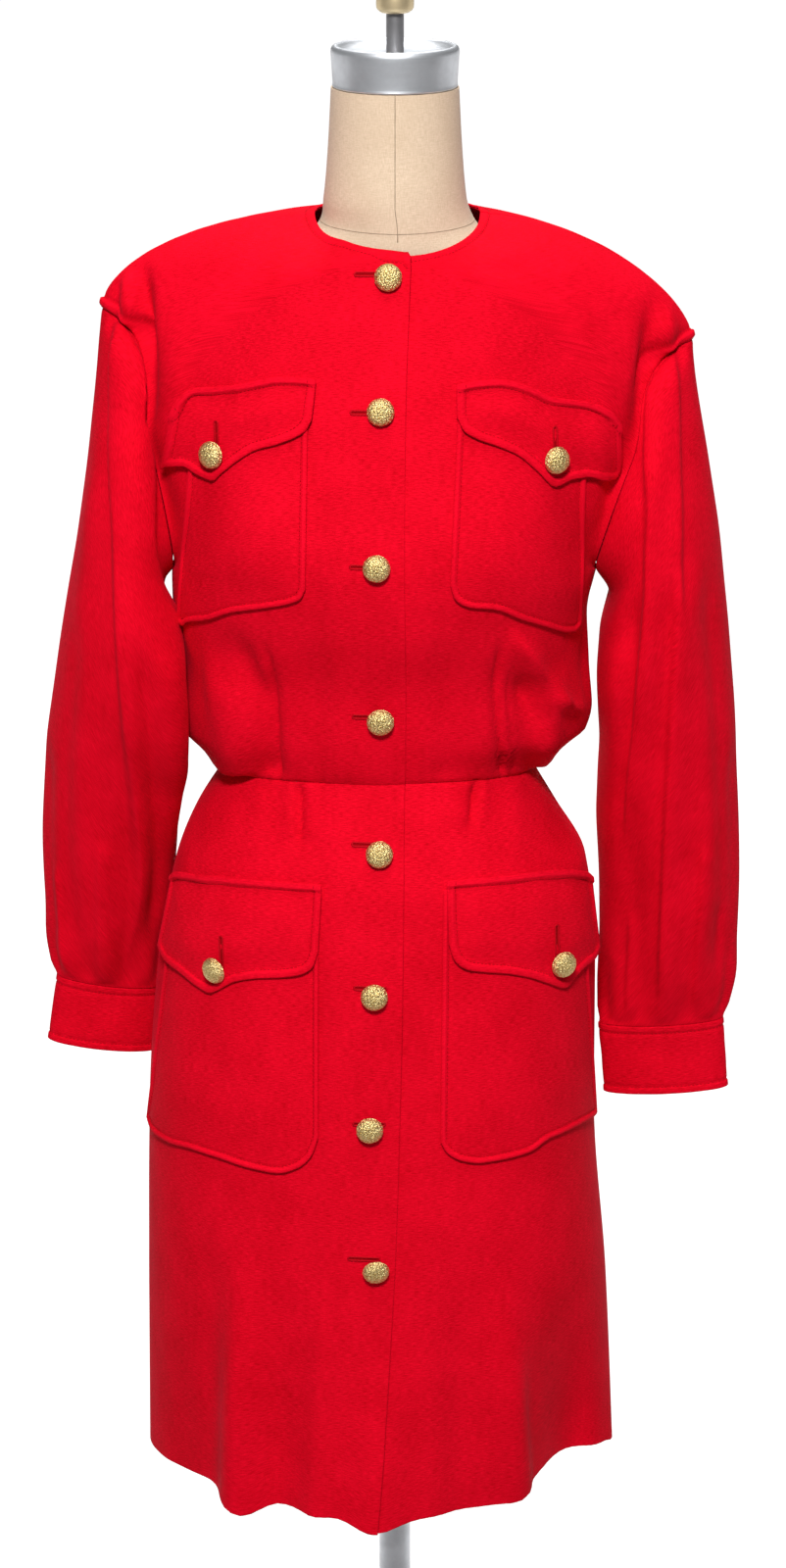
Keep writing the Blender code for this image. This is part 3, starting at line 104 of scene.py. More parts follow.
# Middle front, middle back and side seam, from the waist seam up to the neck.
BODICE = table("""
    row front_z front_y back_z back_y side_z right_x left_x
        0  973 -103  962  88  958 -134.9 108.2
     0.04  984 -107  974 103  972   -148   124
    0.085 1000 -111  990 115  989   -165   148
    0.145 1030 -117 1015 123 1008   -169 152.5
     0.24 1066 -123 1055 126 1042   -170   150
     0.36 1100 -127 1098 125 1082 -171.2   148
      0.5 1136 -129 1134 124 1118 -171.5   155
    0.625 1250 -104 1235 118 1118 -171.5   155
     0.75 1368  -60 1320 100 1118 -171.5   155
    0.875 1368  -60 1393  55 1118 -171.5   155
""")

# How far a row turns on its way to the side, how square it is, and how far its middle stands out.
BODICE_SHAPE = table("""
    row turn square_right square_left front_bow back_bow
       0 90  2.1  2.1  0  0
    0.06 90    2 1.95  0  0
    0.15 90 2.15  2.1  0  0
    0.36 90 2.25 2.25  0  0
     0.5 88 2.15 2.15  0  2
     0.6 74    2    2  6  7
    0.68 66    2    2 13 10
    0.76 62    2    2 18  9
    0.88 78 1.75 1.62 10  0
       1 90 1.84 1.63  0  0
""")

SKIRT = table("""
    row front_z front_y back_z back_y side_z right_x left_x square_right square_left
       0 973 -103 962  88 958 -134.9 108.2  2.1  2.1
    0.06 930 -120 925 105 927 -154.4 126.9  2.2  2.2
    0.13 887 -133 885 118 887 -170.5   149 2.25 2.25
    0.27 812 -142 810 128 812   -185 157.5  2.3  2.3
     0.5 685 -149 685 132 685 -194.5   158 2.35  2.3
    0.75 540 -153 540 138 540   -197   169 2.15 2.05
       1 392 -153 392 144 392 -198.5 176.5 1.75  1.6
""")

# The visible edge of the right front, and how far the right front lies above the left one.
LAP = table("""
    height edge_x lift
     378  -14 4.6
     460 -7.7 4.2
     550 -2.3 3.4
     610  0.8 3.2
     715  3.9 3.2
     817    6 3.2
     973  7.5 3.2
    1040  8.3 3.2
    1147  6.7 3.2
    1260  8.2 3.4
    1368 12.4 4.6
""")

# The armholes' top and bottom points, and how each one is drawn between them.
ARMHOLE = {
    RIGHT: np.array([[-0.2218, 0.0, 1.3200], [-0.1715, 0.0, 1.118]]),
    LEFT: np.array([[0.2259, 0.0, 1.2953], [0.1550, 0.0, 1.118]]),
}
ARMHOLE_DEPTH = {FRONT: 0.060, BACK: 0.058}
ARMHOLE_SCOOP = {FRONT: 0.0125, BACK: 0.007}
ARMHOLE_NOTCH = {FRONT: 0.015, BACK: 0.008}
BODICE_TURN, SLEEVE_TURN = 1.8, -1.0

# A sleeve's rings: their outer end, their inner end and half their depth from front to back.
SLEEVE = {
    RIGHT: table("""
    ring outer_x outer_z inner_x inner_z outer_y inner_y depth
       0 -221.8  1320 -171.5 1118  0   0 59
    0.04   -224  1298   -177 1110  0  -2 60
    0.08 -226.2  1275 -178.2 1100  0  -6 62
     0.2   -234  1215 -174.5 1070  0 -16 63
    0.34   -245  1140 -170.2 1035  1 -30 62
     0.5 -259.5  1055   -169  990  4 -18 60
    0.66 -272.2   965 -169.2  935 10  12 56
     0.8 -276.5   885   -173  872 16  36 50
    0.91 -274.5   825   -180  814 19  44 38
       1   -268 781.5 -186.5  763 20  45 20
    """),
    LEFT: table("""
    ring outer_x outer_z inner_x inner_z outer_y inner_y depth
       0 225.9 1295.3   155  1118  0  0 59
    0.08 230.2   1260   165  1098  0  0 64
     0.2   240   1205 158.2  1065  1  0 67
    0.34   250   1135   156  1025  2  0 66
     0.5   260   1045 158.5   975  4 12 63
    0.66 267.2    950 158.5   920  6 26 60
     0.8 270.8    860 161.8   848  8 36 52
    0.91 269.2    796 162.5   787 10 34 38
       1 260.2  748.5 162.5 738.5 10 26 18
    """),
}
CUFF_WALL = 0.0020
# The lower ring of each cuff: its outer end, its inner end and half its depth.
CUFF_FOOT = {
    RIGHT: ((-0.2760, 0.020, 0.7275), (-0.1905, 0.045, 0.7095), 0.018),
    LEFT: ((0.2650, 0.010, 0.6910), (0.1668, 0.026, 0.6805), 0.016),
}

# Pockets and flaps are drawn as seen from the front, in columns from their inner edge outward:
# each column runs from a point on the top edge to one on the low edge.
OUTLINE = "top_x top_z low_x low_z"
CHEST_POCKET = {
    RIGHT: table(OUTLINE, """
    -63.8   1278 -66.3 1131.5
      -69   1279   -70 1123.8
      -78 1279.5   -79 1119.5
      -98 1276.5   -99   1114
     -118   1272  -120 1107.8
     -136   1269  -139 1097.2
     -149   1262  -155 1089.4
     -150   1248  -160 1083.8
     -153   1216  -164   1086
    """),
    LEFT: table(OUTLINE, """
    46.8   1274  40.7 1135.2
      52 1275.5    44 1124.3
      61 1276.5    54 1117.4
      79 1275.5  74.4 1113.7
      98   1270    93 1103.3
     116   1262   113 1092.2
     132 1258.5   127 1083.3
     139   1250 134.5 1080.1
     142   1216 139.5 1082.8
    """),
}
CHEST_FLAP = {
    RIGHT: table(OUTLINE, """
    -57.5 1282.5    -61   1254
      -63 1283.2  -65.5   1246
      -71   1284    -73   1241
      -85 1283.8    -87   1235
     -100 1280.5   -102 1229.8
     -115 1276.5   -116 1219.8
     -127 1274.5   -127   1210
     -135 1273.5 -133.5 1204.1
     -143 1272.8   -145 1206.8
     -152 1271.5 -156.5 1212.2
     -160 1265.5   -167 1210.8
     -166   1252 -172.2   1207
    """),
    LEFT: table(OUTLINE, """
       45 1278.8    45   1256
       50 1279.8    50   1246
       59 1281.2    59   1240
       74 1281.6    76   1233
       88   1279    90 1225.5
      102   1273   103 1213.5
      116 1266.2 117.2   1200
      129   1264   130 1203.7
      141   1262   143   1204
      153 1257.5   156   1199
      162   1250   164   1198
    167.2   1241   168   1205
    """),
}
HIP_POCKET = {
    RIGHT: table(OUTLINE, """
     -57   895  -57.6   705
     -62 895.5    -63 690.5
     -72 895.5    -74 679.5
     -88   895    -91   674
    -106   894   -112 675.5
    -124   892   -134   679
    -140   888   -156   680
    -153   883   -174 676.8
    -163   877 -187.5 675.5
    -169   870   -193   678
    """),
    LEFT: table(OUTLINE, """
     36 896.5  34.4   701
     41 897.2    39 692.5
     50 897.5    50   685
     64   897    66 681.5
     80   896    84 681.8
     96 894.5   102 683.2
    111   891   119   690
    124   887   135   690
    135   882   149   687
    143   874 156.6 681.5
    """),
}
HIP_FLAP = {
    RIGHT: table(OUTLINE, """
    -53.4 900.8  -56.5   850
      -59 900.8    -61   839
      -69 900.5    -70 832.5
      -85   900    -87 828.5
     -102   899   -105 825.7
     -118 897.5   -120 820.5
     -130   896   -132 811.8
     -139   894 -139.6 807.7
     -147   892   -149 810.5
     -155 889.5   -161 815.6
     -163   886   -173 817.8
     -168   880 -179.5   823
    """),
    LEFT: table(OUTLINE, """
     37.8 903.1    40   856
       43 903.2    44   844
       52 903.2    53 836.2
       65 902.8    68 832.5
       79 902.2    85   829
       93 901.2   100 823.5
      106 899.8   113   816
      118   897 127.4 807.4
      128   894   135   813
      136   890   143   817
      143   885   150   817
    147.5   878 154.5   820
    """),
}
POCKETS = {"chest": CHEST_POCKET, "hip": HIP_POCKET}
FLAPS = {"chest": CHEST_FLAP, "hip": HIP_FLAP}
FLAP_LIFT = 2.4 * LAY_GAP + POCKET_WALL

# Each button's place, how far it leans from the cloth's own direction, and where its buttonhole
# starts. The front's buttonholes run towards the lap edge, and the flaps' run down to the button.
FASTENING = "x z lean_side lean_down hole_x hole_z"
FRONT_CLOSINGS = table(FASTENING, """
     -5.1 1354.5  0  6 -28.5 1357.5
    -10.9   1260  2  8 -31.5   1260
    -13.8 1148.5 -2  6   -32   1149
      -11 1026.2  2  4 -30.5 1029.2
    -11.9    924  3  6   -31    931
    -15.6    818 -2  5 -29.5    824
    -19.4    714  2  6 -30.5  717.5
      -15    601  8 22 -34.5  608.5
""")
FLAP_CLOSINGS = dict(zip(
    ("chest_flap_right", "chest_flap_left", "hip_flap_right", "hip_flap_left"),
    each(table(FASTENING, """
    -134.6 1224.5   0  6   -133 1248
     118.4   1221  -2  6    119 1244
      -135    829  -6 16 -132.5  853
     126.4  829.5 -18 10  123.5  858
    """)),
))
# How far a buttonhole runs, in x and z.
TO_LAP, DOWN_FLAP = (0.0215, -0.0006), (0.0006, -0.0215)

# The dress form's own rings. It leans a little with the dress at the waist.
FORM = table("""
    height half_width front back square middle_x
       700  132 100  102 2.1 -10
       780  140 112  110 2.1 -10
       860  130 104  100 2.1  -9
       920  112  94   86 2.1  -9
       962  104  88   78 2.1  -9
      1010  110  94   86 2.1  -8
      1080  128 112   96 2.1  -4
      1150  140 110  102 2.1   0
      1220  146  92   98 2.1   0
      1285  152  72   82   2   0
      1325  152  58   64 1.8   0
      1348  142  53   54 1.6   0
      1362  110  51   50 1.5   1
      1372   81  51   48 1.6   2
      1381   62  50   48 1.8   2
      1390 56.5  50 48.4 1.9 1.5
      1402   54  50   47   2   0
      1440 50.5  48   47   2   0
    1485.7   48  47   47   2   0
""")


# A fold is a soft ridge (or a trough, where its height is below 0) along a straight line seen
# from the front or the back. It fades in over the share `fade` of its length at both ends, and
# an end that is marked 1 doesn't fade.

FOLD_COLUMNS = "top_x top_z bottom_x bottom_z width height fade keep_top keep_bottom"
BODICE_FOLDS = {
    FRONT: table(FOLD_COLUMNS, """
     -95 1085 -86.3  977  5   -3 0.35 0 1
    -104 1070   -98  985  8   -3 0.45 0 1
    -130 1075  -122  980 16   10 0.45 0 1
    76.7 1089    80  978  5 -3.5 0.35 0 1
      87 1098   134 1012 11    8 0.35 0 0
      95 1066   102  985 10   -5  0.4 0 1
     126 1060   113  980 12    7 0.45 0 1
    """),
    BACK: table(FOLD_COLUMNS, """
     -90 1110  -70 970  6 -3.5 0.35 0 1
    -120 1080 -105 975  9    4 0.45 0 1
      80 1110   60 970  6 -3.5 0.35 0 1
     110 1080   95 975  9    4 0.45 0 1
     -10 1060  -12 975 14    3 0.45 0 1
    """),
}
SKIRT_FOLDS = {
    FRONT: table(FOLD_COLUMNS, """
    -71.4 968 -73.5 915 5.5 -3  0.5 1 0
       60 968    57 925 5.5 -3  0.5 1 0
     -115 640  -122 385  16 17 0.75 0 1
      -86 560   -90 385  13 -5 0.75 0 1
       82 600    99 385  16 14 0.75 0 1
      -10 560   -14 380  18  8  0.8 0 1
    """),
    BACK: table(FOLD_COLUMNS, """
     -70 960  -78 870  6 -3.5  0.5 1 0
      55 960   62 870  6 -3.5  0.5 1 0
    -110 620 -122 385 17   11 0.75 0 1
     -50 600  -54 385 18   -8 0.75 0 1
      10 640    8 385 19   10 0.75 0 1
      60 580   68 385 16   -7 0.75 0 1
     105 600  115 385 16   11 0.75 0 1
    """),
}
# Where the hem of the fronts swings back into a fold, and how much lower it hangs.
HEM_BACK = table("""
    x width back starts_z
    -165 20  8 560
     136 25 32 600
""")
HEM_DROP = table("""
    x drop
    -210  0
    -150 -1
    -119  9
     -90  1
     -50  1
     -16 11
      20  5
      60  4
      95  2
     125 -8
     150 -7
     190 -1
""")
HEM_Z, HEM_DROP_STARTS = 0.392, 0.500
BUST = {"x": 0.085, "z": 1.165, "width": 0.055, "height": 0.011}
# Under the bust the fronts fall in, and above the waist they hang plumb again.
HOLLOW = {"z": 1.045, "width": 0.038, "depth": 0.0065}


def smooth(knots, values, at):
    """A smooth curve through the knots with no overshoot, read at one place or at many."""
    steps = np.diff(knots)
    slopes = np.diff(values) / steps
    tangents = np.zeros(len(knots))
    tangents[0], tangents[-1] = slopes[0], slopes[-1]
    for i in range(1, len(knots) - 1):
        if slopes[i - 1] * slopes[i] > 0:
            first = 2 * steps[i] + steps[i - 1]
            second = steps[i] + 2 * steps[i - 1]
            tangents[i] = (first + second) / (first / slopes[i - 1] + second / slopes[i])
    at = np.asarray(at, float)
    k = np.clip(np.searchsorted(knots, at, side="right") - 1, 0, len(steps) - 1)
    t = (at - knots[k]) / steps[k]
    start = (1 + 2 * t) * (1 - t) ** 2 * values[k] + t * (1 - t) ** 2 * steps[k] * tangents[k]
    end = t * t * (3 - 2 * t) * values[k + 1] + t * t * (t - 1) * steps[k] * tangents[k + 1]
    return start + end


def read(rows, column, at):
    """One column of a table, read anywhere along its first column."""
    return smooth(next(iter(rows.values())), rows[column], at)


def ease(low, high, at):
    """0 below low, 1 above high, and smooth between them."""
    t = np.clip((at - low) / (high - low), 0.0, 1.0)
    return t * t * (3 - 2 * t)


def bell(at, width):
    return np.exp(-((at / width) ** 2))


def unit(vectors):
    return vectors / (np.linalg.norm(vectors, axis=-1, keepdims=True) + 1e-15)


def lengths_along(points):
    """How far along a polyline each of its points lies."""
    return np.concatenate([[0.0], np.cumsum(np.linalg.norm(np.diff(points, axis=0), axis=1))])


def resample(points, distances):
    """The points of a polyline at given distances along it."""
    lengths = lengths_along(points)
    return np.stack([np.interp(distances, lengths, points[:, axis]) for axis in range(3)], axis=1)


def noise_2d(u, v, seed, octaves=3, waves=5):
    """Smooth, seeded unevenness between about -1 and 1, from a few slanted waves."""
    rng = np.random.RandomState(seed)
    u, v = np.broadcast_arrays(u, v)
    out = np.zeros(u.shape)
    for octave in range(octaves):
        for _ in range(waves):
            angle, phase = rng.uniform(0, 2 * math.pi, 2)
            rate = 2 ** octave * rng.uniform(0.7, 1.3)
            wave = np.sin(rate * (u * math.cos(angle) + v * math.sin(angle)) + phase)
            out += wave / (waves * 1.6 ** octave)
    return out * 1.4


def distance_to(points, line):
    """The distance from each point of a grid to a polyline."""
    flat = points.reshape(-1, 3)
    best = np.full(len(flat), 1e9)
    for start, end in zip(line[:-1], line[1:]):
        along = end - start
        share = np.clip((flat - start) @ along / max(along @ along, 1e-18), 0.0, 1.0)
        gap = flat - start - share[:, None] * along
        best = np.minimum(best, np.einsum("ij,ij->i", gap, gap))
    return np.sqrt(best).reshape(points.shape[:-1])


# ---- The body of the dress, as rows ----


def section(inner, outer, face, turn, square, bow, count=91):
    """A row from its inner end, where it lies level with X, to its outer end."""
    angle = np.linspace(0.0, math.radians(turn), count)
    across = (np.sin(angle) / math.sin(angle[-1])) ** (2 / square)
    inward = (np.cos(angle) - math.cos(angle[-1])) / (1 - math.cos(angle[-1]))
    inward = np.clip(inward, 0.0, 1.0) ** (2 / square)
    inner, outer = np.array(inner), np.array(outer)
    points = outer + (inner - outer) * inward[:, None]
    points[:, 0] = inner[0] + (outer[0] - inner[0]) * across
    points[:, 1] += face * bow * np.sin(math.pi * across)
    return points


def neckline(degrees):
    """The neck edge: 0 at the middle front, 90 at the left neck point, 180 at the middle back."""
    angle = math.radians(degrees)
    front = math.cos(angle) > 0
    depth, end_z = (NECK_FRONT, NECK_FRONT_Z) if front else (NECK_BACK, NECK_BACK_Z)
    x = NECK_X + NECK_HALF_WIDTH * math.sin(angle)
    z = NECK_SIDE_Z + (end_z - NECK_SIDE_Z) * abs(math.cos(angle))
    return np.array([x, -depth * math.cos(angle), z])


def armhole(side, face, degrees):
    """The armhole edge: 0 at the shoulder end, 180 at the underarm."""
    angle = math.radians(degrees)
    top, bottom = ARMHOLE[side]
    point = (top + bottom) / 2 + (top - bottom) / 2 * math.cos(angle)
    point[1] += face * ARMHOLE_DEPTH[face] * math.sin(angle)
    inward = ARMHOLE_SCOOP[face] * math.sin(angle)
    if degrees < 90:
        inward += ARMHOLE_NOTCH[face] * math.sin(2 * angle) ** 2
    point[0] -= side * inward
    return point


def armhole_normal(side, face, degrees, turns_to_arm):
    """The way out of the cloth at the armhole seam. Bodice and sleeve part at the underarm."""
    angle = math.radians(degrees)
    top, bottom = ARMHOLE[side]
    radial = unit(top - bottom) * math.cos(angle)
    radial[1] += face * math.sin(angle)
    radial[0] += side * 1.5 * max(0.0, math.cos(angle))
    radial[0] += side * turns_to_arm * max(0.0, -math.cos(angle))
    return unit(radial)


def arm_degrees(row):
    """The place on the armhole where a bodice row ends."""
    return 180.0 * (1 - (row - ARM_ROW) / (1 - ARM_ROW))


def side_x(rows, side, row):
    """How far out a row's side lies."""
    return read(rows, "right_x" if side == RIGHT else "left_x", row)


def outer_end(side, face, row):
    """The outer end of a bodice row: on the side seam, or on the armhole above it."""
    if row <= ARM_ROW:
        return np.array([side_x(BODICE, side, row), 0.0, read(BODICE, "side_z", row)])
    return armhole(side, face, arm_degrees(row))


def bodice_half(side, face, row, inner=None):
    """A bodice row from the middle, or from the neckline, to the side."""
    if inner is None:
        name = "front" if face == FRONT else "back"
        inner = (CENTRE_X, read(BODICE, name + "_y", row), read(BODICE, name + "_z", row))
    square = read(BODICE_SHAPE, "square_right" if side == RIGHT else "square_left", row)
    bow = read(BODICE_SHAPE, "front_bow" if face == FRONT else "back_bow", row)
    turn = read(BODICE_SHAPE, "turn", row)
    return section(inner, outer_end(side, face, row), face, turn, square, bow)


def skirt_half(side, face, row):
    """A skirt row from the middle to the side."""
    name = "front" if face == FRONT else "back"
    inner = (CENTRE_X, read(SKIRT, name + "_y", row), read(SKIRT, name + "_z", row))
    outer = (side_x(SKIRT, side, row), 0.0, read(SKIRT, "side_z", row))
    square = read(SKIRT, "square_right" if side == RIGHT else "square_left", row)
    return section(inner, outer, face, 90.0, square, 0.0)


def lap_start(side, height):
    """Where a front starts: the right one at the lap edge, the left one under the right one."""
    edge = read(LAP, "edge_x", height)
    return edge if side == RIGHT else edge - UNDERLAP


def cut_at(side, halves, start, count=161):
    """The part of a whole row from start to the side's outer end."""
    whole = np.concatenate([halves[-side][::-1], halves[side][1:]])
    lengths = lengths_along(whole)
    place = np.interp(side * start, side * whole[:, 0], lengths)
    return resample(whole, np.linspace(place, lengths[-1], count))


def neck_start(side):
    """The angle on the neckline where a front starts."""
    return math.degrees(math.asin((lap_start(side, NECK_FRONT_Z) - NECK_X) / NECK_HALF_WIDTH))


def front_row(side, row):
    """A bodice front's row from its start to its outer end."""
    first = NECK_ROW[FRONT]
    if row <= first:
        halves = {s: bodice_half(s, FRONT, row) for s in (RIGHT, LEFT)}
        return cut_at(side, halves, lap_start(side, read(BODICE, "front_z", row)))
    start = neck_start(side)
    share = (row - first) / (1 - first)
    inner = neckline(start + (side * 90.0 - start) * share)
    return bodice_half(side, FRONT, row, inner)


def back_row(side, row):
    """Half a bodice back's row, from the middle or the neckline to its outer end."""
    first = NECK_ROW[BACK]
    if row <= first:
        return bodice_half(side, BACK, row)
    share = (row - first) / (1 - first)
    return bodice_half(side, BACK, row, neckline(side * (180.0 - 90.0 * share)))


def skirt_row(side, face, row):
    """A skirt row: a front's from its start, or half a back's, to its outer end."""
    if face == BACK:
        return skirt_half(side, BACK, row)
    halves = {s: skirt_half(s, FRONT, row) for s in (RIGHT, LEFT)}
    return cut_at(side, halves, lap_start(side, read(SKIRT, "front_z", row)))


# ---- Looks of the cloth: steps, seams and edges ----
# A bodice's rows: how many lie below the armhole, on the chest and above it, and their share in
# the back. The lengths turn the edge steps into shares of a panel.
ROWS, BACK_ROWS, YOKE_ROW = (48, 84, 44), 0.7, 0.75
LOWER_LENGTH, UPPER_LENGTH = 0.32, 0.40
SKIRT_LENGTH = 0.585
FRONT_STEP, BACK_STEP = 0.0033, 0.0047
LAID_COLUMN_STEP, LAID_ROW_STEP, CUFF_STEP = 0.0026, 0.0028, 0.0030
COLUMNS = {FRONT: 92, BACK: 60}
EDGE_STEPS = np.array([0.0, 0.0003, 0.0008, 0.0015, 0.0024, 0.0035, 0.0046, 0.0055, 0.0063, 0.0074])
SIDE_FADE = 0.022
WAIST_FADE = 0.010
WELT_WIDTH, WELT_HEIGHT = 0.0060, 0.0026
# The second number is how strongly the welt's edge is painted a lighter red: partly wear, partly
# painted highlight.
WELT_RIM, WELT_WEAR_AND_HIGHLIGHT = 0.30, 0.6
WELT_ENDS = {FRONT: (1.245, 1.285), BACK: (1.13, 1.18)}
STITCH_DEPTH, STITCH_WIDTH = 0.0007, 0.0010
NECK_STITCH, NECK_RIDGE = 0.0062, 0.00045
CUFF_STITCH, CUFF_RIDGE = 0.0052, 0.0004
POCKET_STITCH, FLAP_STITCH, TUCK_STITCH = 0.0047, 0.0065, 0.0059
SEAM_DIP, SEAM_WIDTH = 0.0006, 0.0018
# How near to a seam the ways out turn to those that its neighbour shares.
WAIST_REACH, SEAM_REACH = 0.006, 0.012
BODICE_UNEVEN, SKIRT_UNEVEN, SLEEVE_UNEVEN, CUFF_UNEVEN = 0.00035, 0.0005, 0.0006, 0.0005
THIN_EDGE = 0.12
VALLEY_DEPTH, VALLEY_WIDTH = 0.016, 0.011
VALLEY_FOOT, VALLEY_TOP = (1.130, 1.210), (1.345, 1.305)
FOLD_LEAD = 0.04
CREASE_BEGINS, CREASE_ENDS = 0.12, 0.84

# Darts, as narrow grooves drawn straight from their point to the waist seam.
DARTS = table("""
    top_x top_z bottom_x bottom_z
    -95.8 1087 -86.2 974
     76.7 1090    80 974
    -71.2  972 -70.2 934
     59.7  972  56.7 944
""")

DART_WIDTH, DART_GROOVE, DART_CRISP, DART_FULL = 0.0024, 0.0030, 0.0014, 0.0016

# Softer and smaller folds that lie over the main ones.
BODICE_CREASES = {
    FRONT: table(FOLD_COLUMNS, """
    -190.5 1364 -188.5 1230   7  -13  0.3 0 0
      -200 1358   -201 1290 6.5    5  0.4 0 1
    -208.5 1350 -210.5 1305 3.4 -2.8 0.35 0 0
      -164 1330   -160 1200  10    3 0.45 0 0
     193.5 1338    190 1190   8   -9  0.3 0 0
       204 1328    208 1270 6.5  4.5  0.4 0 1
       169 1290    164 1130  10   -6 0.45 0 0
      -120 1100   -108 1020  11   -6 0.45 0 0
      -101 1065    -95  985 5.5 -5.5  0.4 0 1
      -145 1085   -138 1000   8  3.5 0.45 0 0
        88 1070     90  984 2.6 -3.6 0.35 0 1
        84 1102    118 1036 4.5    5 0.35 0 0
       118 1040    148 1006 6.5    5  0.4 0 0
        96 1060    118  995 6.5   -7  0.4 0 0
       -40 1105    -36  985  16  1.4 0.45 0 1
        35 1109     40  985  12 -2.4 0.45 0 1
       -70 1120    -66 1000  12 -1.4 0.45 0 0
    """),
    BACK: table(FOLD_COLUMNS, """
    -190 1330 -185 1190  8   -4 0.35 0 0
     190 1320  186 1180  8 -4.2 0.35 0 0
    -145 1300 -140 1100 15 -2.2 0.45 0 0
     144 1290  138 1100 16 -2.4 0.45 0 0
     -35 1120  -30  980  7   -2  0.4 0 1
      30 1100   25  980  6  2.2  0.4 0 1
     135 1080  120  990  6 -2.2  0.4 0 0
    -135 1070 -122  990  6  2.2  0.4 0 0
    """),
}
SKIRT_CREASES = {
    FRONT: table(FOLD_COLUMNS, """
    -102 960 -108 905  8  1.2  0.4 1 0
      90 960   96 905  8  1.2  0.4 1 0
     -56 670  -60 390 12  3.6  0.6 0 1
      48 640   52 390 14 -4.2 0.65 0 1
     102 530  109 385  7   -7 0.55 0 1
    -140 610 -144 390 11 -4.8 0.65 0 1
     -35 880  -40 560 22    1 0.45 0 0
      25 900   25 620 18 -0.9 0.45 0 0
    """),
    BACK: table(FOLD_COLUMNS, """
     -30 820  -25 400 12  1.8  0.6 0 1
      33 720   36 390 10 -2.2  0.6 0 1
     -85 680  -88 390 11  2.6 0.65 0 1
      84 650   90 390 11  2.6 0.65 0 1
    -142 560 -146 390 11 -2.4 0.65 0 1
    """),
}

# A sleeve's folds run from an upper to a lower ring, at angles from 0 on the outside through 90 in
# front to 180 inside. Lean is the share of the width that is left on the fold's steep side.
SLEEVE_FOLD_COLUMNS = "ring_top angle_top ring_low angle_low spread height lean"
SLEEVE_FOLDS = {
    RIGHT: table(SLEEVE_FOLD_COLUMNS, """
    0.04 172   0.7 172 20    3    1
     0.1  30   0.9  78 17  3.5    1
    0.08 152  0.66 150 24  4.5    1
    0.25 250  0.95 236 16 -5.5    1
     0.2 300   0.9 292 16  3.5    1
    0.62  20  0.95  34 13   -3    1
     0.3 118  0.96 140 11   -5    1
     0.4  48  0.97  58 10   -3    1
     0.8  40 0.985  44  9    3 0.35
     0.1 332  0.96 340 14   -2    1
     0.3 214  0.97 206 12  2.6  0.4
     0.5 270  0.97 266 10 -2.8    1
    """),
    LEFT: table(SLEEVE_FOLD_COLUMNS, """
    0.12 122  0.96 128 14   -8   1
     0.1  64   0.9  56 17    3   1
    0.22 134  0.94 128 15  3.5   1
    0.28 244  0.95 256 16 -5.5   1
     0.2 296   0.9 300 16  3.5   1
     0.6  22  0.96  30 13   -3   1
     0.3  48  0.96  44 11   -3   1
     0.8  44 0.985  44  9 -2.2   1
     0.1 330  0.96 336 14   -2   1
     0.3 210  0.97 214 12  2.6 0.4
     0.5 274  0.97 280 10 -2.8   1
    """),
}


def crease(width, height, steep, *line):
    """A long crease down the front of a sleeve, in millimetres, with its line from the top down.

    It is soft on one side, and steep on the side towards -x or +x that steep names.
    """
    x, z = np.array(line).T / 1000
    return {"width": width / 1000, "height": height / 1000, "steep": steep, "x": x, "z": z}


SLEEVE_CREASES = {
    RIGHT: [
        crease(15, 9.5, -1, (-208.7, 1400), (-208.7, 1150), (-206, 1058), (-201.6, 888),
               (-204, 841), (-211.5, 780)),
        crease(14, 8, 1, (-186.3, 1370), (-187.6, 1222), (-187, 1158), (-181.2, 1102),
               (-174.6, 1064), (-171.7, 990), (-174.3, 870)),
        crease(10, 3, -1, (-229, 910), (-234, 770)),
    ],
    LEFT: [
        crease(13, 8.5, -1, (192, 1360), (191.8, 1133), (186, 1040), (178, 880)),
        crease(10, 5.8, 1, (209.3, 1360), (212.4, 1085)),
        crease(13, 7.4, -1, (212.5, 1140), (211, 956), (209.2, 750)),
        crease(8, 3.6, -1, (238.1, 910), (236.5, 750)),
        crease(6, 3, -1, (183, 840), (186, 745)),
    ],
}
STEEP_WIDTH = 0.0030
GATHERS = {"count": 8, "height": 0.0022, "starts": 0.86, "full": 0.95, "ends": 0.975}
SLEEVE_RING_STEP, SLEEVE_COLUMNS = 0.0058, 224
SLEEVE_LENGTH = 0.56


def places(length, step=None, count=None):
    """Distances from 0 to a length: close together at both ends, and even between them."""
    near, close = EDGE_STEPS[-1], EDGE_STEPS[:-1]
    if count is None:
        middle = max(2, int(round((length - 2 * near) / step))) + 1
    else:
        middle = count - 2 * len(close)
    return np.concatenate([close, np.linspace(near, length - near, middle), length - close[::-1]])


def spread(line, count):
    """A row's points at a given number of places."""
    return resample(line, places(lengths_along(line)[-1], count=count))


def grid_normals(grid, wrap=False):
    """Unit normals of a grid, across its rows and up its columns."""
    if wrap:
        body = grid[:, :-1]
        across = np.roll(body, -1, axis=1) - np.roll(body, 1, axis=1)
        across = np.concatenate([across, across[:, :1]], axis=1)
    else:
        across = np.gradient(grid, axis=1)
    up = np.gradient(grid, axis=0)
    return unit(np.cross(unit(across), unit(up)))


def outward(normals, grid):
    """The same normals, facing away from the middle of the garment."""
    away = grid[..., :2] - np.array((CENTRE_X, 0.0))
    inside = (normals[..., :2] * away).sum(axis=-1).mean() < 0
    return -normals if inside else normals


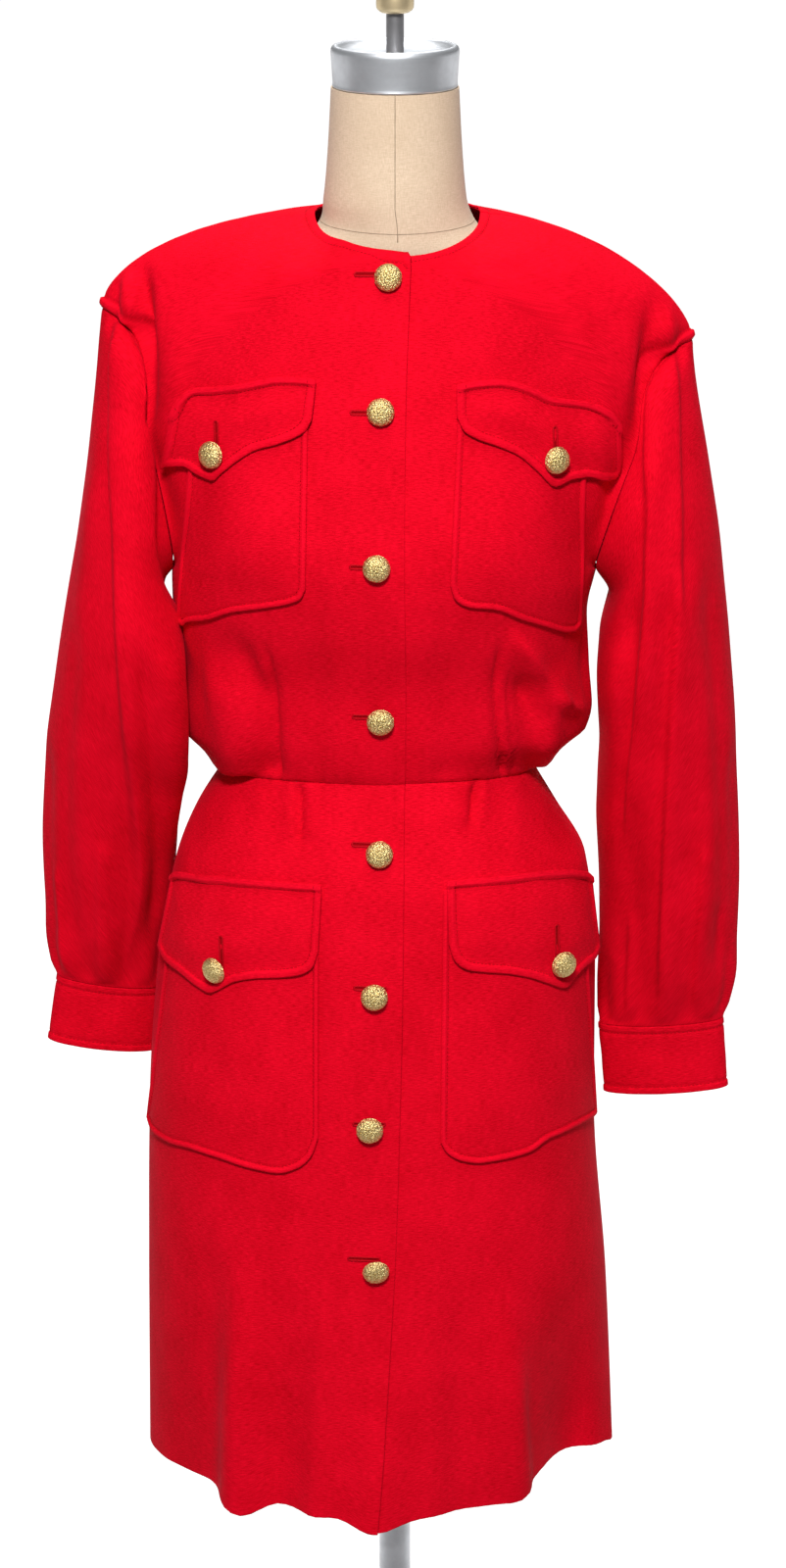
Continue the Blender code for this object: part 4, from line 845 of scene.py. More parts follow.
def fold_heights(folds, grid):
    """How far the folds move each point of a grid out."""
    out = np.zeros(grid.shape[:-1])
    for fold in each(folds):
        along = (fold["top_z"] - grid[..., 2]) / (fold["top_z"] - fold["bottom_z"])
        line_x = fold["top_x"] + (fold["bottom_x"] - fold["top_x"]) * np.clip(along, 0, 1)
        begins = 1.0 if fold["keep_top"] else ease(0.0, fold["fade"], along)
        ends = 1.0 if fold["keep_bottom"] else ease(1.0, 1.0 - fold["fade"], along)
        fades = begins * ends * ease(-FOLD_LEAD, 0.0, along)
        out += fold["height"] * bell(grid[..., 0] - line_x, fold["width"]) * fades
    return out


def crease_heights(creases, grid):
    """How far the long creases of a sleeve's front move each point of its grid out."""
    out = np.zeros(grid.shape[:-1])
    for crease in creases:
        x, z = crease["x"], crease["z"]
        line_x = smooth(z[::-1], x[::-1], np.clip(grid[..., 2], z[-1], z[0]))
        off = (grid[..., 0] - line_x) * crease["steep"]
        along = (z[0] - grid[..., 2]) / (z[0] - z[-1])
        fades = ease(0.0, CREASE_BEGINS, along) * ease(1.0, CREASE_ENDS, along)
        out += crease["height"] * fades * bell(off, np.where(off > 0, STEEP_WIDTH, crease["width"]))
    return out


def dart_heights(grid):
    """Darts: a fine groove with the cloth a little full on its outer side."""
    out = np.zeros(grid.shape[:-1])
    for dart in each(DARTS):
        along = (dart["top_z"] - grid[..., 2]) / (dart["top_z"] - dart["bottom_z"])
        line_x = dart["top_x"] + (dart["bottom_x"] - dart["top_x"]) * along
        off = (grid[..., 0] - line_x) * np.sign(dart["top_x"])
        groove = DART_GROOVE * bell(off - DART_WIDTH, DART_WIDTH)
        crisp = DART_CRISP * ease(0.0016, -0.0004, off) * ease(-0.030, 0.0, off)
        full = DART_FULL * bell(off - 0.0085, 0.0050)
        out += (crisp + full - groove) * ease(-0.02, 0.15, along) * ease(1.06, 1.0, along)
    return out


def bust_heights(grid):
    """The bust stands out, and the fronts fall in under it."""
    out = np.zeros(grid.shape[:-1])
    for side in (RIGHT, LEFT):
        x = grid[..., 0] - CENTRE_X - side * BUST["x"]
        z = grid[..., 2] - BUST["z"]
        out += BUST["height"] * np.exp(-(x * x + z * z) / BUST["width"] ** 2)
    return out - HOLLOW["depth"] * bell(grid[..., 2] - HOLLOW["z"], HOLLOW["width"])


def with_hem(grid, shown):
    """A skirt front's grid, with its hem swung back and dropped where the tables say."""
    out = grid.copy()
    for swing in each(HEM_BACK):
        grows = shown * ease(swing["starts_z"], HEM_Z, grid[..., 2])
        out[..., 1] += swing["back"] * grows * bell(grid[..., 0] - swing["x"], swing["width"])
    drop = read(HEM_DROP, "drop", grid[..., 0])
    out[..., 2] -= shown * drop * ease(HEM_DROP_STARTS, HEM_Z, grid[..., 2])
    return out


def front_heights(grid, side):
    """A front's darts, and the lap: near its edge the right front lies over the left one."""
    heights = dart_heights(grid)
    if side == LEFT:
        return heights
    from_edge = read(LAP, "edge_x", grid[..., 2]) - grid[..., 0]
    lifted = read(LAP, "lift", grid[..., 2]) * ease(LAP_NONE, LAP_FULL, from_edge)
    return heights + lifted - LAP_PRESSED * ease(LAP_PRESSED_WIDTH, 0.0, from_edge)


def plan_normals(line, closed=False):
    """The level way out of a line, square to it as seen from above."""
    if closed:
        along = np.roll(line[:-1], -1, axis=0) - np.roll(line[:-1], 1, axis=0)
        along = np.concatenate([along, along[:1]])
        middle = line[:-1].mean(axis=0)
    else:
        along = np.gradient(line, axis=0)
        middle = np.array([CENTRE_X, 0.0, 0.0])
    normals = unit(np.stack([along[:, 1], -along[:, 0], 0 * along[:, 0]], axis=1))
    inside = ((line - middle) * normals).sum() < 0
    return -normals if inside else normals


def side_normals(line, side):
    """The way out at a side seam: level with X but for the seam's own slope."""
    up = np.gradient(line, axis=0)
    up = up * np.sign(up[:, 2:].sum())
    return unit(np.stack([side * up[:, 2], 0 * up[:, 2], -side * up[:, 0]], axis=1))


def shoulder_normals(line, side):
    """The way out at a shoulder seam: upward but for the seam's own slope."""
    out = np.gradient(line, axis=0)
    return unit(np.stack([-side * out[:, 2], 0 * out[:, 2], side * out[:, 0]], axis=1))


def ridge(distance, width, height):
    """A raised edge: full up to its width, then a stitched groove where it ends."""
    raised = height * ease(width + 0.0013, width - 0.0005, distance)
    return raised - STITCH_DEPTH * bell(distance - width - 0.0009, STITCH_WIDTH)


def full_edge(distance, thickness):
    """How much of the wall's thickness is left this near to a rounded edge."""
    radius = thickness * 0.55
    near = np.clip(1 - distance / radius, 0.0, 1.0)
    return np.maximum(np.sqrt(1 - near ** 2), THIN_EDGE)


def measured(grid):
    """Cloth coordinates of a grid in metres, across its rows and along its columns."""
    across = np.linalg.norm(np.diff(grid, axis=1), axis=2)
    down = np.linalg.norm(np.diff(grid, axis=0), axis=2)
    u = np.concatenate([np.zeros((grid.shape[0], 1)), np.cumsum(across, axis=1)], axis=1)
    v = np.concatenate([np.zeros((1, grid.shape[1])), np.cumsum(down, axis=0)])
    return np.stack([u, v], axis=-1)


def blended(normals, target, share):
    """Normals that turn into the target ones as the share goes to 1."""
    return unit(normals * (1 - share[..., None]) + target * share[..., None])


def turned_to(normals, shared, distance, reach):
    """Normals that turn into shared ones within reach of a seam."""
    return blended(normals, shared, ease(reach, 0.0, distance))


def sunk(points, distance):
    """The front of an armhole lies in a valley: its cloth goes back near the seam."""
    high = ease(*VALLEY_FOOT, points[..., 2]) * ease(*VALLEY_TOP, points[..., 2])
    shown = high * ease(0.0, -0.030, points[..., 1])
    out = points.copy()
    out[..., 1] += VALLEY_DEPTH * shown * bell(distance, VALLEY_WIDTH)
    return out


def bodice_rows(face):
    """Rows of a bodice panel, from 0 at the waist to 1 at the shoulder seam."""
    below, chest, yoke = (int(count * (1.0 if face == FRONT else BACK_ROWS)) for count in ROWS)
    low, high = EDGE_STEPS / LOWER_LENGTH, 1 - EDGE_STEPS / UPPER_LENGTH
    return np.concatenate([
        low[:-1],
        np.linspace(low[-1], ARM_ROW, below),
        np.linspace(ARM_ROW, YOKE_ROW, chest)[1:],
        np.linspace(YOKE_ROW, high[-1], yoke)[1:],
        high[:-1][::-1],
    ])


def eased_at(grid, rows, row, reach=0.07, rounds=70):
    """The grid with its points evened out near one row, where the rows begin to fan."""
    share = (0.9 * bell(rows - row, reach))[1:-1, None, None]
    out = grid.copy()
    for _ in range(rounds):
        around = (out[:-2, 1:-1] + out[2:, 1:-1] + out[1:-1, :-2] + out[1:-1, 2:]) / 4
        out[1:-1, 1:-1] += share * (around - out[1:-1, 1:-1])
    return out


def panel_normals(grid, face, level_waist=False):
    """A panel's ways out. Where the halves of a back meet, they have no sideways part."""
    normals = outward(grid_normals(grid), grid)
    if level_waist:
        normals[0] = plan_normals(grid[0])
    if face == BACK:
        normals[abs(grid[:, 0, 0] - CENTRE_X) < 1e-6, 0, 0] = 0.0
        normals = unit(normals)
    return normals


def bodice_sheet(side, face):
    """A bodice panel's outer grid with its ways out, edges and cloth coordinates."""
    rows, row_at = bodice_rows(face), front_row if face == FRONT else back_row
    grid = np.array([spread(row_at(side, row), COLUMNS[face]) for row in rows])
    grid = eased_at(grid, rows, NECK_ROW[face])
    cloth = measured(grid)
    neck_line = grid[rows >= NECK_ROW[face] - 1e-9, 0]
    lines = {
        "side": grid[::2, -1],
        "waist": grid[0, ::2],
        "shoulder": grid[-1, ::2],
        "arm": grid[rows >= ARM_ROW - 1e-9, -1],
        "neck": neck_line,
        "side_seam": grid[rows <= ARM_ROW + 1e-9, -1][::2],
    }
    away = {name: distance_to(grid, line) for name, line in lines.items()}
    free = [neck_line] + ([grid[rows <= NECK_ROW[FRONT] + 1e-9, 0]] if face == FRONT else [])

    heights = fold_heights(BODICE_FOLDS[face], grid) * ease(0.0, WAIST_FADE, away["waist"])
    if face == FRONT:
        heights += bust_heights(grid)
    heights *= ease(0.0, SIDE_FADE, away["side"]) * ease(0.0, 0.030, away["shoulder"])
    creases = fold_heights(BODICE_CREASES[face], grid) * ease(0.0, WAIST_FADE, away["waist"])
    heights += creases * ease(0.0, 0.006, away["side"]) * ease(0.0, 0.016, away["shoulder"])
    if face == FRONT:
        heights += front_heights(grid, side)
    shown = ease(*WELT_ENDS[face], grid[..., 2])
    rounded = WELT_RIM + (1 - WELT_RIM) * ease(0.0, 0.0024, away["arm"])
    heights += ridge(away["arm"], WELT_WIDTH, WELT_HEIGHT) * rounded * shown
    heights += ridge(away["neck"], NECK_STITCH, NECK_RIDGE)
    for name in ("shoulder", "waist", "side_seam"):
        heights -= SEAM_DIP * bell(away[name], SEAM_WIDTH)
    uneven = noise_2d(cloth[..., 0] * 60, cloth[..., 1] * 34, 10 + side + 3 * face)
    heights += BODICE_UNEVEN * uneven

    if face == FRONT:
        grid = sunk(grid, away["arm"])
    grid = grid + panel_normals(grid, face, level_waist=True) * heights[..., None]
    normals = seam_normals(panel_normals(grid, face), grid, rows, side, face, away)
    grid[:, -1, 1] += face * SEAM_GAP / 2
    grid[-1, :, 1] += face * SEAM_GAP / 2
    grid[0, :, 2] += SEAM_GAP / 2
    edge = np.min([distance_to(grid, line) for line in free], axis=0)
    # The welt's edge gets a share that the wool paints a lighter red: partly wear, partly painted
    # highlight.
    wear_and_highlight = WELT_WEAR_AND_HIGHLIGHT * ease(0.0030, 0.0008, abs(away["arm"] - WELT_WIDTH + 0.001)) * shown
    sheet = {"grid": grid, "normals": normals, "cloth": cloth, "edge": edge, "wear_and_highlight": wear_and_highlight}
    return {**sheet, "neck": away["neck"]}


def seam_normals(normals, grid, rows, side, face, away):
    """Near its seams a panel turns to the ways out that its neighbours share."""
    normals = turned_to(normals, plan_normals(grid[0])[None], away["waist"], WAIST_REACH)
    over = shoulder_normals(grid[-1], side)
    normals = turned_to(normals, over[None], away["shoulder"], SEAM_REACH)
    last = side_normals(grid[:, -1], side)
    for k in np.flatnonzero(rows >= ARM_ROW):
        last[k] = armhole_normal(side, face, arm_degrees(rows[k]), BODICE_TURN)
    from_end = np.linalg.norm(grid - grid[:, -1:], axis=2)
    return turned_to(normals, last[:, None], from_end, SEAM_REACH)


def skirt_sheet(side, face):
    """A skirt panel's outer grid with its ways out, edges and cloth coordinates."""
    rows = places(SKIRT_LENGTH, FRONT_STEP if face == FRONT else BACK_STEP) / SKIRT_LENGTH
    grid = np.array([spread(skirt_row(side, face, row), COLUMNS[face]) for row in rows])
    cloth = measured(grid)
    from_side, from_waist = distance_to(grid, grid[::2, -1]), distance_to(grid, grid[0, ::2])
    heights = fold_heights(SKIRT_FOLDS[face], grid) + fold_heights(SKIRT_CREASES[face], grid)
    heights *= ease(0.0, WAIST_FADE, from_waist) * ease(0.0, SIDE_FADE, from_side)
    if face == FRONT:
        heights += front_heights(grid, side)
    heights -= SEAM_DIP * (bell(from_waist, SEAM_WIDTH) + bell(from_side, SEAM_WIDTH))
    uneven = noise_2d(cloth[..., 0] * 46, cloth[..., 1] * 20, 30 + side + 3 * face)
    heights += SKIRT_UNEVEN * uneven * ease(0.0, 0.03, from_side)

    grid = grid + panel_normals(grid, face, level_waist=True) * heights[..., None]
    if face == FRONT:
        grid = with_hem(grid, ease(0.0, 0.026, from_side))
    normals = panel_normals(grid, face)
    normals = turned_to(normals, plan_normals(grid[0])[None], from_waist, WAIST_REACH)
    normals = turned_to(normals, side_normals(grid[:, -1], side)[:, None], from_side, SEAM_REACH)
    grid[:, -1, 1] += face * SEAM_GAP / 2
    grid[0, :, 2] -= SEAM_GAP / 2
    free = [grid[-1, ::2]] + ([grid[::2, 0]] if face == FRONT else [])
    edge = np.min([distance_to(grid, line) for line in free], axis=0)
    return {"grid": grid, "normals": normals, "cloth": cloth, "edge": edge, "wear_and_highlight": 0 * edge}


# ---- Making pieces ----
# The bends in degrees above which an edge is hard.
TURNED_SHARP, BUTTON_SHARP, TORSO_SHARP = 40, 55, 50


def add_piece(name, points, faces, looks, uvs=None, wear_and_highlight=None, sharp=None):
    """A mesh of its own: points, faces and finish. Edges that bend by more than sharp are hard.

    Cloth also has a coordinate for each face corner, and a share of wear and painted highlight for
    each point.
    """
    mesh = bpy.data.meshes.new(name)
    mesh.from_pydata(points.tolist(), [], faces)
    if uvs is not None:
        layer = mesh.uv_layers.new(name="cloth")
        layer.data.foreach_set("uv", np.asarray(uvs, np.float32).ravel())
    if wear_and_highlight is not None:
        attribute = mesh.attributes.new("wear_and_highlight", "FLOAT", "POINT")
        attribute.data.foreach_set("value", np.asarray(wear_and_highlight, np.float32).ravel())
    mesh.shade_smooth()
    if sharp is not None:
        mesh.set_sharp_from_angle(angle=math.radians(sharp))
    mesh.materials.append(looks)
    made = bpy.data.objects.new(name, mesh)
    bpy.context.collection.objects.link(made)
    return made


def outer_quads(grid, normals):
    """The faces of a grid as four point numbers each, turned to face out."""
    rows, columns = grid.shape[:2]
    ids = np.arange(rows * columns).reshape(rows, columns)
    corners = (ids[:-1, :-1], ids[:-1, 1:], ids[1:, 1:], ids[1:, :-1])
    quads = np.stack([corner.ravel() for corner in corners], axis=1)
    a, b, d = (grid.reshape(-1, 3)[quads[:, k]] for k in (0, 1, 3))
    facing = (np.cross(b - a, d - a) * normals[:-1, :-1].reshape(-1, 3)).sum()
    return quads if facing > 0 else quads[:, ::-1]


def open_edges(faces, corners):
    """The edges that only one face has: the points at their ends, and the corners there."""
    edges, ends = (
        np.concatenate([quads[:, [k, (k + 1) % 4]] for k in range(4)]) for quads in (faces, corners)
    )
    pairs = np.sort(edges, axis=1)
    _, where, times = np.unique(pairs, axis=0, return_index=True, return_counts=True)
    alone = where[(times == 1) & (edges[where, 0] != edges[where, 1])]
    return edges[alone], ends[alone]


def add_shell(name, sheets, thickness, looks):
    """A thin shell of cloth from one or more sheets, thinned to a round edge where it is free."""
    parts, first = [], 0
    for sheet in sheets:
        grid, normals = sheet["grid"], sheet["normals"]
        left = thickness * full_edge(sheet["edge"], thickness)[..., None]
        recess = (thickness - left) / 2
        parts.append((
            (grid - normals * recess).reshape(-1, 3),
            (grid - normals * (recess + left)).reshape(-1, 3),
            first + outer_quads(grid, normals),
            sheet["cloth"].reshape(-1, 2),
            sheet["wear_and_highlight"].reshape(-1),
        ))
        first += grid.shape[0] * grid.shape[1]
    outer, inner, quads, cloth, wear_and_highlight = (np.concatenate(part) for part in zip(*parts))
    keys = np.round(np.concatenate([outer, inner], axis=1), 5)
    _, kept, merged = np.unique(keys, axis=0, return_index=True, return_inverse=True)
    count, faces = len(kept), merged.ravel()[quads]
    edges, ends = open_edges(faces, quads)
    rims = np.concatenate([edges[:, ::-1], edges + count], axis=1)
    rim_corners = np.concatenate([ends[:, ::-1], ends], axis=1)
    points = np.concatenate([outer[kept], inner[kept]])
    all_faces = np.concatenate([faces, faces[:, ::-1] + count, rims])
    uvs = cloth[np.concatenate([quads, quads[:, ::-1], rim_corners])].reshape(-1, 2)
    return add_piece(name, points, all_faces.tolist(), looks, uvs, np.tile(wear_and_highlight[kept], 2))


# ---- Sleeves and cuffs ----


def ring(outer, inner, depth, angles):
    """A level or slanted oval between two ends, starting at its outer end towards the front."""
    outer, inner = np.array(outer), np.array(inner)
    turn = np.radians(angles)[:, None]
    middle, half = (outer + inner) / 2, (outer - inner) / 2
    return middle + half * np.cos(turn) + np.array([0.0, -depth, 0.0]) * np.sin(turn)


def ring_at(rows, place, angles):
    """A sleeve's ring at a place from 0 at the shoulder to 1 at the cuff."""
    outer = [read(rows, "outer_" + axis, place) for axis in "xyz"]
    inner = [read(rows, "inner_" + axis, place) for axis in "xyz"]
    return ring(outer, inner, read(rows, "depth", place), angles)


def seam_place(degrees):
    """The face of the armhole that a sleeve's angle lies on, and the armhole's degrees there."""
    turn = degrees % 360.0
    return (FRONT, turn) if turn <= 180 else (BACK, 360 - turn)


def sleeve_heights(side, place, angles):
    """The folds of one ring of a sleeve, and the gathers above its cuff."""
    out = np.zeros(len(angles))
    for fold in each(SLEEVE_FOLDS[side]):
        along = (place - fold["ring_top"]) / (fold["ring_low"] - fold["ring_top"])
        angle = fold["angle_top"] + (fold["angle_low"] - fold["angle_top"]) * np.clip(along, 0, 1)
        apart = (angles - angle + 180.0) % 360.0 - 180.0
        width = np.where(apart > 0, fold["spread"] * fold["lean"], fold["spread"])
        out += fold["height"] * ease(0.0, 0.16, along) * ease(1.0, 0.84, along) * bell(apart, width)
    gathered = ease(GATHERS["starts"], GATHERS["full"], place) * ease(1.0, GATHERS["ends"], place)
    return out + GATHERS["height"] * gathered * np.cos(np.radians(angles) * GATHERS["count"])


def tube_normals(grid, middle):
    """The ways out of a tube's grid, away from the middles of its rings."""
    found = grid_normals(grid, wrap=True)
    return -found if ((grid - middle) * found).sum(axis=-1).mean() < 0 else found


def sleeve_sheet(side):
    """A sleeve's outer grid: rings that start on the armhole's own line and end at the cuff."""
    rings = places(SLEEVE_LENGTH, SLEEVE_RING_STEP) / SLEEVE_LENGTH
    angles = np.linspace(0.0, 360.0, SLEEVE_COLUMNS + 1)
    cosine, sine = np.cos(np.radians(angles)), np.sin(np.radians(angles))
    seam = np.array([armhole(side, *seam_place(a)) for a in angles])
    seam[-1] = seam[0]
    to_seam = seam - ring_at(SLEEVE[side], 0.0, angles)
    reach = 0.09 + 0.11 * (1 + cosine)
    grid = []
    for place in rings:
        keeps = 1 - ease(0.0, 1.0, place / reach)
        grid.append(ring_at(SLEEVE[side], place, angles) + to_seam * keeps[:, None])
    grid = np.array(grid)
    grid = sunk(grid, distance_to(grid, grid[0]))
    grid[:, -1] = grid[:, 0]
    middle = grid.mean(axis=1, keepdims=True)
    cloth = measured(grid)

    down = rings[:, None]
    heights = np.array([sleeve_heights(side, place, angles) for place in rings])
    heights += crease_heights(SLEEVE_CREASES[side], grid) * ease(0.05, 0.35, sine)
    heights += SLEEVE_UNEVEN * noise_2d(cosine[None] * 2.4 + sine[None] * 1.1, down * 11, 50 + side)
    heights = heights * ease(0.0, 0.02, down) * ease(1.0, 0.99, down) - 0.0007 * bell(down, 0.006)
    grid = grid + tube_normals(grid, middle) * heights[..., None]
    grid[:, -1] = grid[:, 0]
    first = np.array([armhole_normal(side, *seam_place(a), SLEEVE_TURN) for a in angles])
    normals = turned_to(tube_normals(grid, middle), first[None], down, 0.03)
    last = plan_normals(grid[-1], closed=True)
    normals = blended(normals, last[None], ease(0.985, 1.0, down))
    normals[:, -1] = normals[:, 0]
    away = unit(np.cross(seam[len(seam) // 4] - seam[0], seam[len(seam) // 2] - seam[0]))
    away *= side * np.sign(away[0])
    grid[0] += away * SEAM_GAP * 1.6
    grid[-1, :, 2] += SEAM_GAP
    far = np.full(grid.shape[:2], 1.0)
    return {"grid": grid, "normals": normals, "cloth": cloth, "edge": far, "wear_and_highlight": 0 * far}


def cuff_sheet(side):
    """A cuff band: stitched near both its edges."""
    angles = np.linspace(0.0, 360.0, SLEEVE_COLUMNS + 1)
    top, low = ring_at(SLEEVE[side], 1.0, angles), ring(*CUFF_FOOT[side], angles)
    height = np.linalg.norm((top - low).mean(axis=0))
    shares = places(height, CUFF_STEP) / height
    grid = np.array([top + (low - top) * share for share in shares])
    grid[:, -1] = grid[:, 0]
    cloth = measured(grid)
    normals = np.array([plan_normals(line, closed=True) for line in grid])
    down = (shares * height)[:, None] * np.ones(len(angles))
    edge = np.minimum(down, height - down)
    uneven = noise_2d(np.cos(np.radians(angles))[None] * 3, down * 60, 70 + side)
    heights = ridge(edge, CUFF_STITCH, CUFF_RIDGE) + CUFF_UNEVEN * uneven
    grid = grid + normals * heights[..., None]
    grid[:, -1] = grid[:, 0]
    normals[:, -1] = normals[:, 0]
    return {"grid": grid, "normals": normals, "cloth": cloth, "edge": edge, "wear_and_highlight": 0 * edge}


# ---- Pockets, flaps, buttons and buttonholes lie on a front ----


def place_on(sheet, side, x, z):
    """The points of a sheet that are seen at x and z from the front, and the ways out there."""
    both = np.concatenate([sheet["grid"], sheet["normals"]], axis=2)
    found = np.empty((len(both), len(x), 6))
    for k, line in enumerate(both):
        order = np.maximum.accumulate(side * line[:, 0])
        for axis in range(6):
            found[k, :, axis] = np.interp(side * x, order, line[:, axis])
    if found[-1, 0, 2] < found[0, 0, 2]:
        found = found[::-1]
    heights = np.maximum.accumulate(found[:, :, 2], axis=0)
    above = np.clip((heights < z).sum(axis=0), 1, len(both) - 1)
    each_one = np.arange(len(x))
    low, high = heights[above - 1, each_one], heights[above, each_one]
    share = np.clip((z - low) / np.maximum(high - low, 1e-9), 0.0, 1.0)[:, None]
    point = found[above - 1, each_one] * (1 - share) + found[above, each_one] * share
    spot = point[:, :3].copy()
    spot[:, 0], spot[:, 2] = x, z
    return spot, unit(point[:, 3:])


def place_one(sheet, side, x, z):
    """One point of a sheet that is seen at x and z from the front, and the way out there."""
    points, ways = place_on(sheet, side, np.array([x]), np.array([z]))
    return points[0], ways[0]


def laid_sheet(under, side, outline, lift, relief):
    """A piece that lies on a front: its outline's columns, set on the sheet and moved out."""
    knots = np.arange(len(outline["top_x"]), dtype=float)
    at = np.linspace(0, knots[-1], 400)
    low_line = np.stack([smooth(knots, outline[c], at) for c in ("low_x", "low_z")], axis=1)
    run = lengths_along(low_line)
    across = np.interp(places(run[-1], LAID_COLUMN_STEP), run, at)
    top_x, top_z, low_x, low_z = (smooth(knots, outline[c], across) for c in OUTLINE.split())
    drop = float(np.median(top_z - low_z))
    down = (places(drop, LAID_ROW_STEP) / drop)[:, None]
    x = top_x + (low_x - top_x) * down
    z = top_z + (low_z - top_z) * down
    point, normal = place_on(under, side, x.ravel(), z.ravel())
    base, normals = point.reshape(*x.shape, 3), normal.reshape(*x.shape, 3)
    top, low = distance_to(base, base[0, ::2]), distance_to(base, base[-1, ::2])
    sides = np.minimum(distance_to(base, base[::2, 0]), distance_to(base, base[::2, -1]))
    sewn = np.minimum(low, sides)
    # The relief also gives each point its share of a lighter red: partly wear, partly painted
    # highlight.
    heights, wear_and_highlight = relief(top, sewn)
    grid = base + normals * (lift + heights)[..., None]
    sheet = {"grid": grid, "normals": normals, "cloth": measured(base), "wear_and_highlight": wear_and_highlight}
    return {**sheet, "edge": np.minimum(top, sewn), "top": top, "sewn": sewn}


def pocket_relief(top, sewn):
    """A patch pocket: a narrow stitched ridge round its sides and foot, and a full middle."""
    full = 0.0012 * ease(0.006, 0.045, sewn)
    # The second value is the pocket's share of a lighter red along its ridge: partly wear, partly
    # painted highlight.
    return ridge(sewn, 0.0036, 0.0015) + full, bell(sewn - 0.0024, 0.0012)


def flap_relief(top, sewn):
    """A flap: a raised tuck along its top, a groove under it, and a stitched ridge below."""
    tuck = ridge(top, 0.0050, 0.0030) - 0.0009 * bell(top - 0.0074, 0.0012)
    low = ridge(sewn, 0.0054, 0.0017)
    full = 0.0020 * ease(0.006, 0.028, np.minimum(sewn, top))
    # Along the tuck and the low ridge the wool is painted a lighter red: partly wear, partly
    # painted highlight.
    wear_and_highlight = bell(top - 0.0030, 0.0018) + 0.8 * bell(sewn - 0.0040, 0.0016)
    return np.maximum(tuck, low) + full, np.clip(wear_and_highlight, 0, 1)


def turned(profile, segments):
    """Points and faces turned about Z from (radius, height) pairs, from the axis to the axis."""
    points, faces = [(0.0, 0.0, profile[0][1])], []
    for radius, height in profile[1:-1]:
        for k in range(segments):
            angle = 2 * math.pi * k / segments
            points.append((radius * math.cos(angle), radius * math.sin(angle), height))
    points.append((0.0, 0.0, profile[-1][1]))
    last, count = len(points) - 1, len(profile) - 2
    for k in range(segments):
        after = (k + 1) % segments
        faces.append((0, 1 + after, 1 + k))
        faces.append((last, last - segments + k, last - segments + after))
        for level in range(count - 1):
            low, high = 1 + level * segments, 1 + (level + 1) * segments
            faces.append((low + k, low + after, high + after, high + k))
    return np.array(points), faces


def add_turned(name, profile, segments, looks):
    """A turned piece, with a hard edge where its profile bends sharply."""
    points, faces = turned(profile, segments)
    return add_piece(name, points, faces, looks, sharp=TURNED_SHARP)


def button_profile():
    """A shank, a thin rolled rim and a dome."""
    rim = [(0.90, 0.00), (0.97, 0.02), (1.00, 0.08), (0.995, 0.15), (0.965, 0.19)]
    dome = [(math.cos(a), 0.17 + 0.83 * math.sin(a)) for a in np.linspace(0.28, math.pi / 2, 17)]
    pairs = [(BUTTON_RADIUS * r, SHANK_HEIGHT + BUTTON_HEIGHT * h) for r, h in rim + dome]
    pairs[-1] = (0.0, pairs[-1][1])
    return [(0.0, 0.0), (SHANK_RADIUS, 0.0), (SHANK_RADIUS, SHANK_HEIGHT)] + pairs


def hammered(points, seed):
    """Shallow dents all over a button's dome, each a little off its place."""
    rng = np.random.RandomState(seed)
    k = np.arange(DENTS) + 0.5
    height = 1 - 0.95 * k / DENTS
    turn = k * math.pi * (3 - math.sqrt(5)) + rng.uniform(-0.25, 0.25, DENTS)
    flat = np.sqrt(1 - height ** 2)
    dents = np.stack([flat * np.cos(turn), flat * np.sin(turn), height], axis=1)
    dents = unit(dents + rng.uniform(-0.05, 0.05, dents.shape))
    out = points.copy()
    base = SHANK_HEIGHT + BUTTON_HEIGHT * 0.16
    domed = out[:, 2] > base
    way = out[domed] - np.array([0.0, 0.0, base])
    way = unit(way / np.array([BUTTON_RADIUS, BUTTON_RADIUS, BUTTON_HEIGHT]))
    nearest = np.sort(np.linalg.norm(way[:, None] - dents[None], axis=2), axis=1)
    from_dent = np.clip(nearest[:, 0] / (0.5 * (nearest[:, 0] + nearest[:, 1]) + 1e-9), 0, 1)
    out[domed] += way * (DENT_DEPTH * from_dent ** 2 - DENT_SINK)[:, None]
    return out


def add_button(node, sheet, side, spot, seed, looks):
    """A button that stands on its shank, leaning from the cloth's own way out."""
    points, faces = turned(button_profile(), BUTTON_SEGMENTS)
    points = hammered(points, seed)
    made = add_piece("gold_" + node, points, faces, looks["gold"], sharp=BUTTON_SHARP)
    point, normal = place_one(sheet, side, spot["x"], spot["z"])
    lean_side, lean_down = math.radians(spot["lean_side"]), math.radians(spot["lean_down"])
    lean = Euler((lean_down, lean_side, 0.0)).to_quaternion()
    up = Vector(normal)
    reach = SHANK_RADIUS * math.sin(math.hypot(lean_side, lean_down))
    made.rotation_mode = "QUATERNION"
    made.rotation_quaternion = up.to_track_quat("Z", "Y") @ lean
    made.location = Vector(point) + up * (2 * SEAM_GAP + reach)
    stand_in(made, node)


def tube_along(path, normals, radius, flat, sides=8, closed=True):
    """A thread-wound cord along a path on the cloth: round, a little flat, with uneven turns."""
    rng = np.random.RandomState(0)
    count = len(path)
    if closed:
        along = unit(np.roll(path, -1, axis=0) - np.roll(path, 1, axis=0))
    else:
        along = unit(np.gradient(path, axis=0))
    across = unit(np.cross(normals, along))
    points, faces = [], []
    swell = 1 + 0.16 * np.sin(np.arange(count) * 2.1) + rng.uniform(-0.06, 0.06, count)
    for k in range(count):
        for s in range(sides):
            angle = 2 * math.pi * s / sides
            side_way, up_way = across[k] * math.cos(angle), normals[k] * math.sin(angle) * flat
            points.append(path[k] + (side_way + up_way) * radius * swell[k])
    for k in range(count if closed else count - 1):
        a, b = k * sides, (k + 1) % count * sides
        faces += [(a + s, a + (s + 1) % sides, b + (s + 1) % sides, b + s) for s in range(sides)]
    if not closed:
        faces.append(tuple(range(sides - 1, -1, -1)))
        faces.append(tuple((count - 1) * sides + s for s in range(sides)))
    return np.array(points), faces


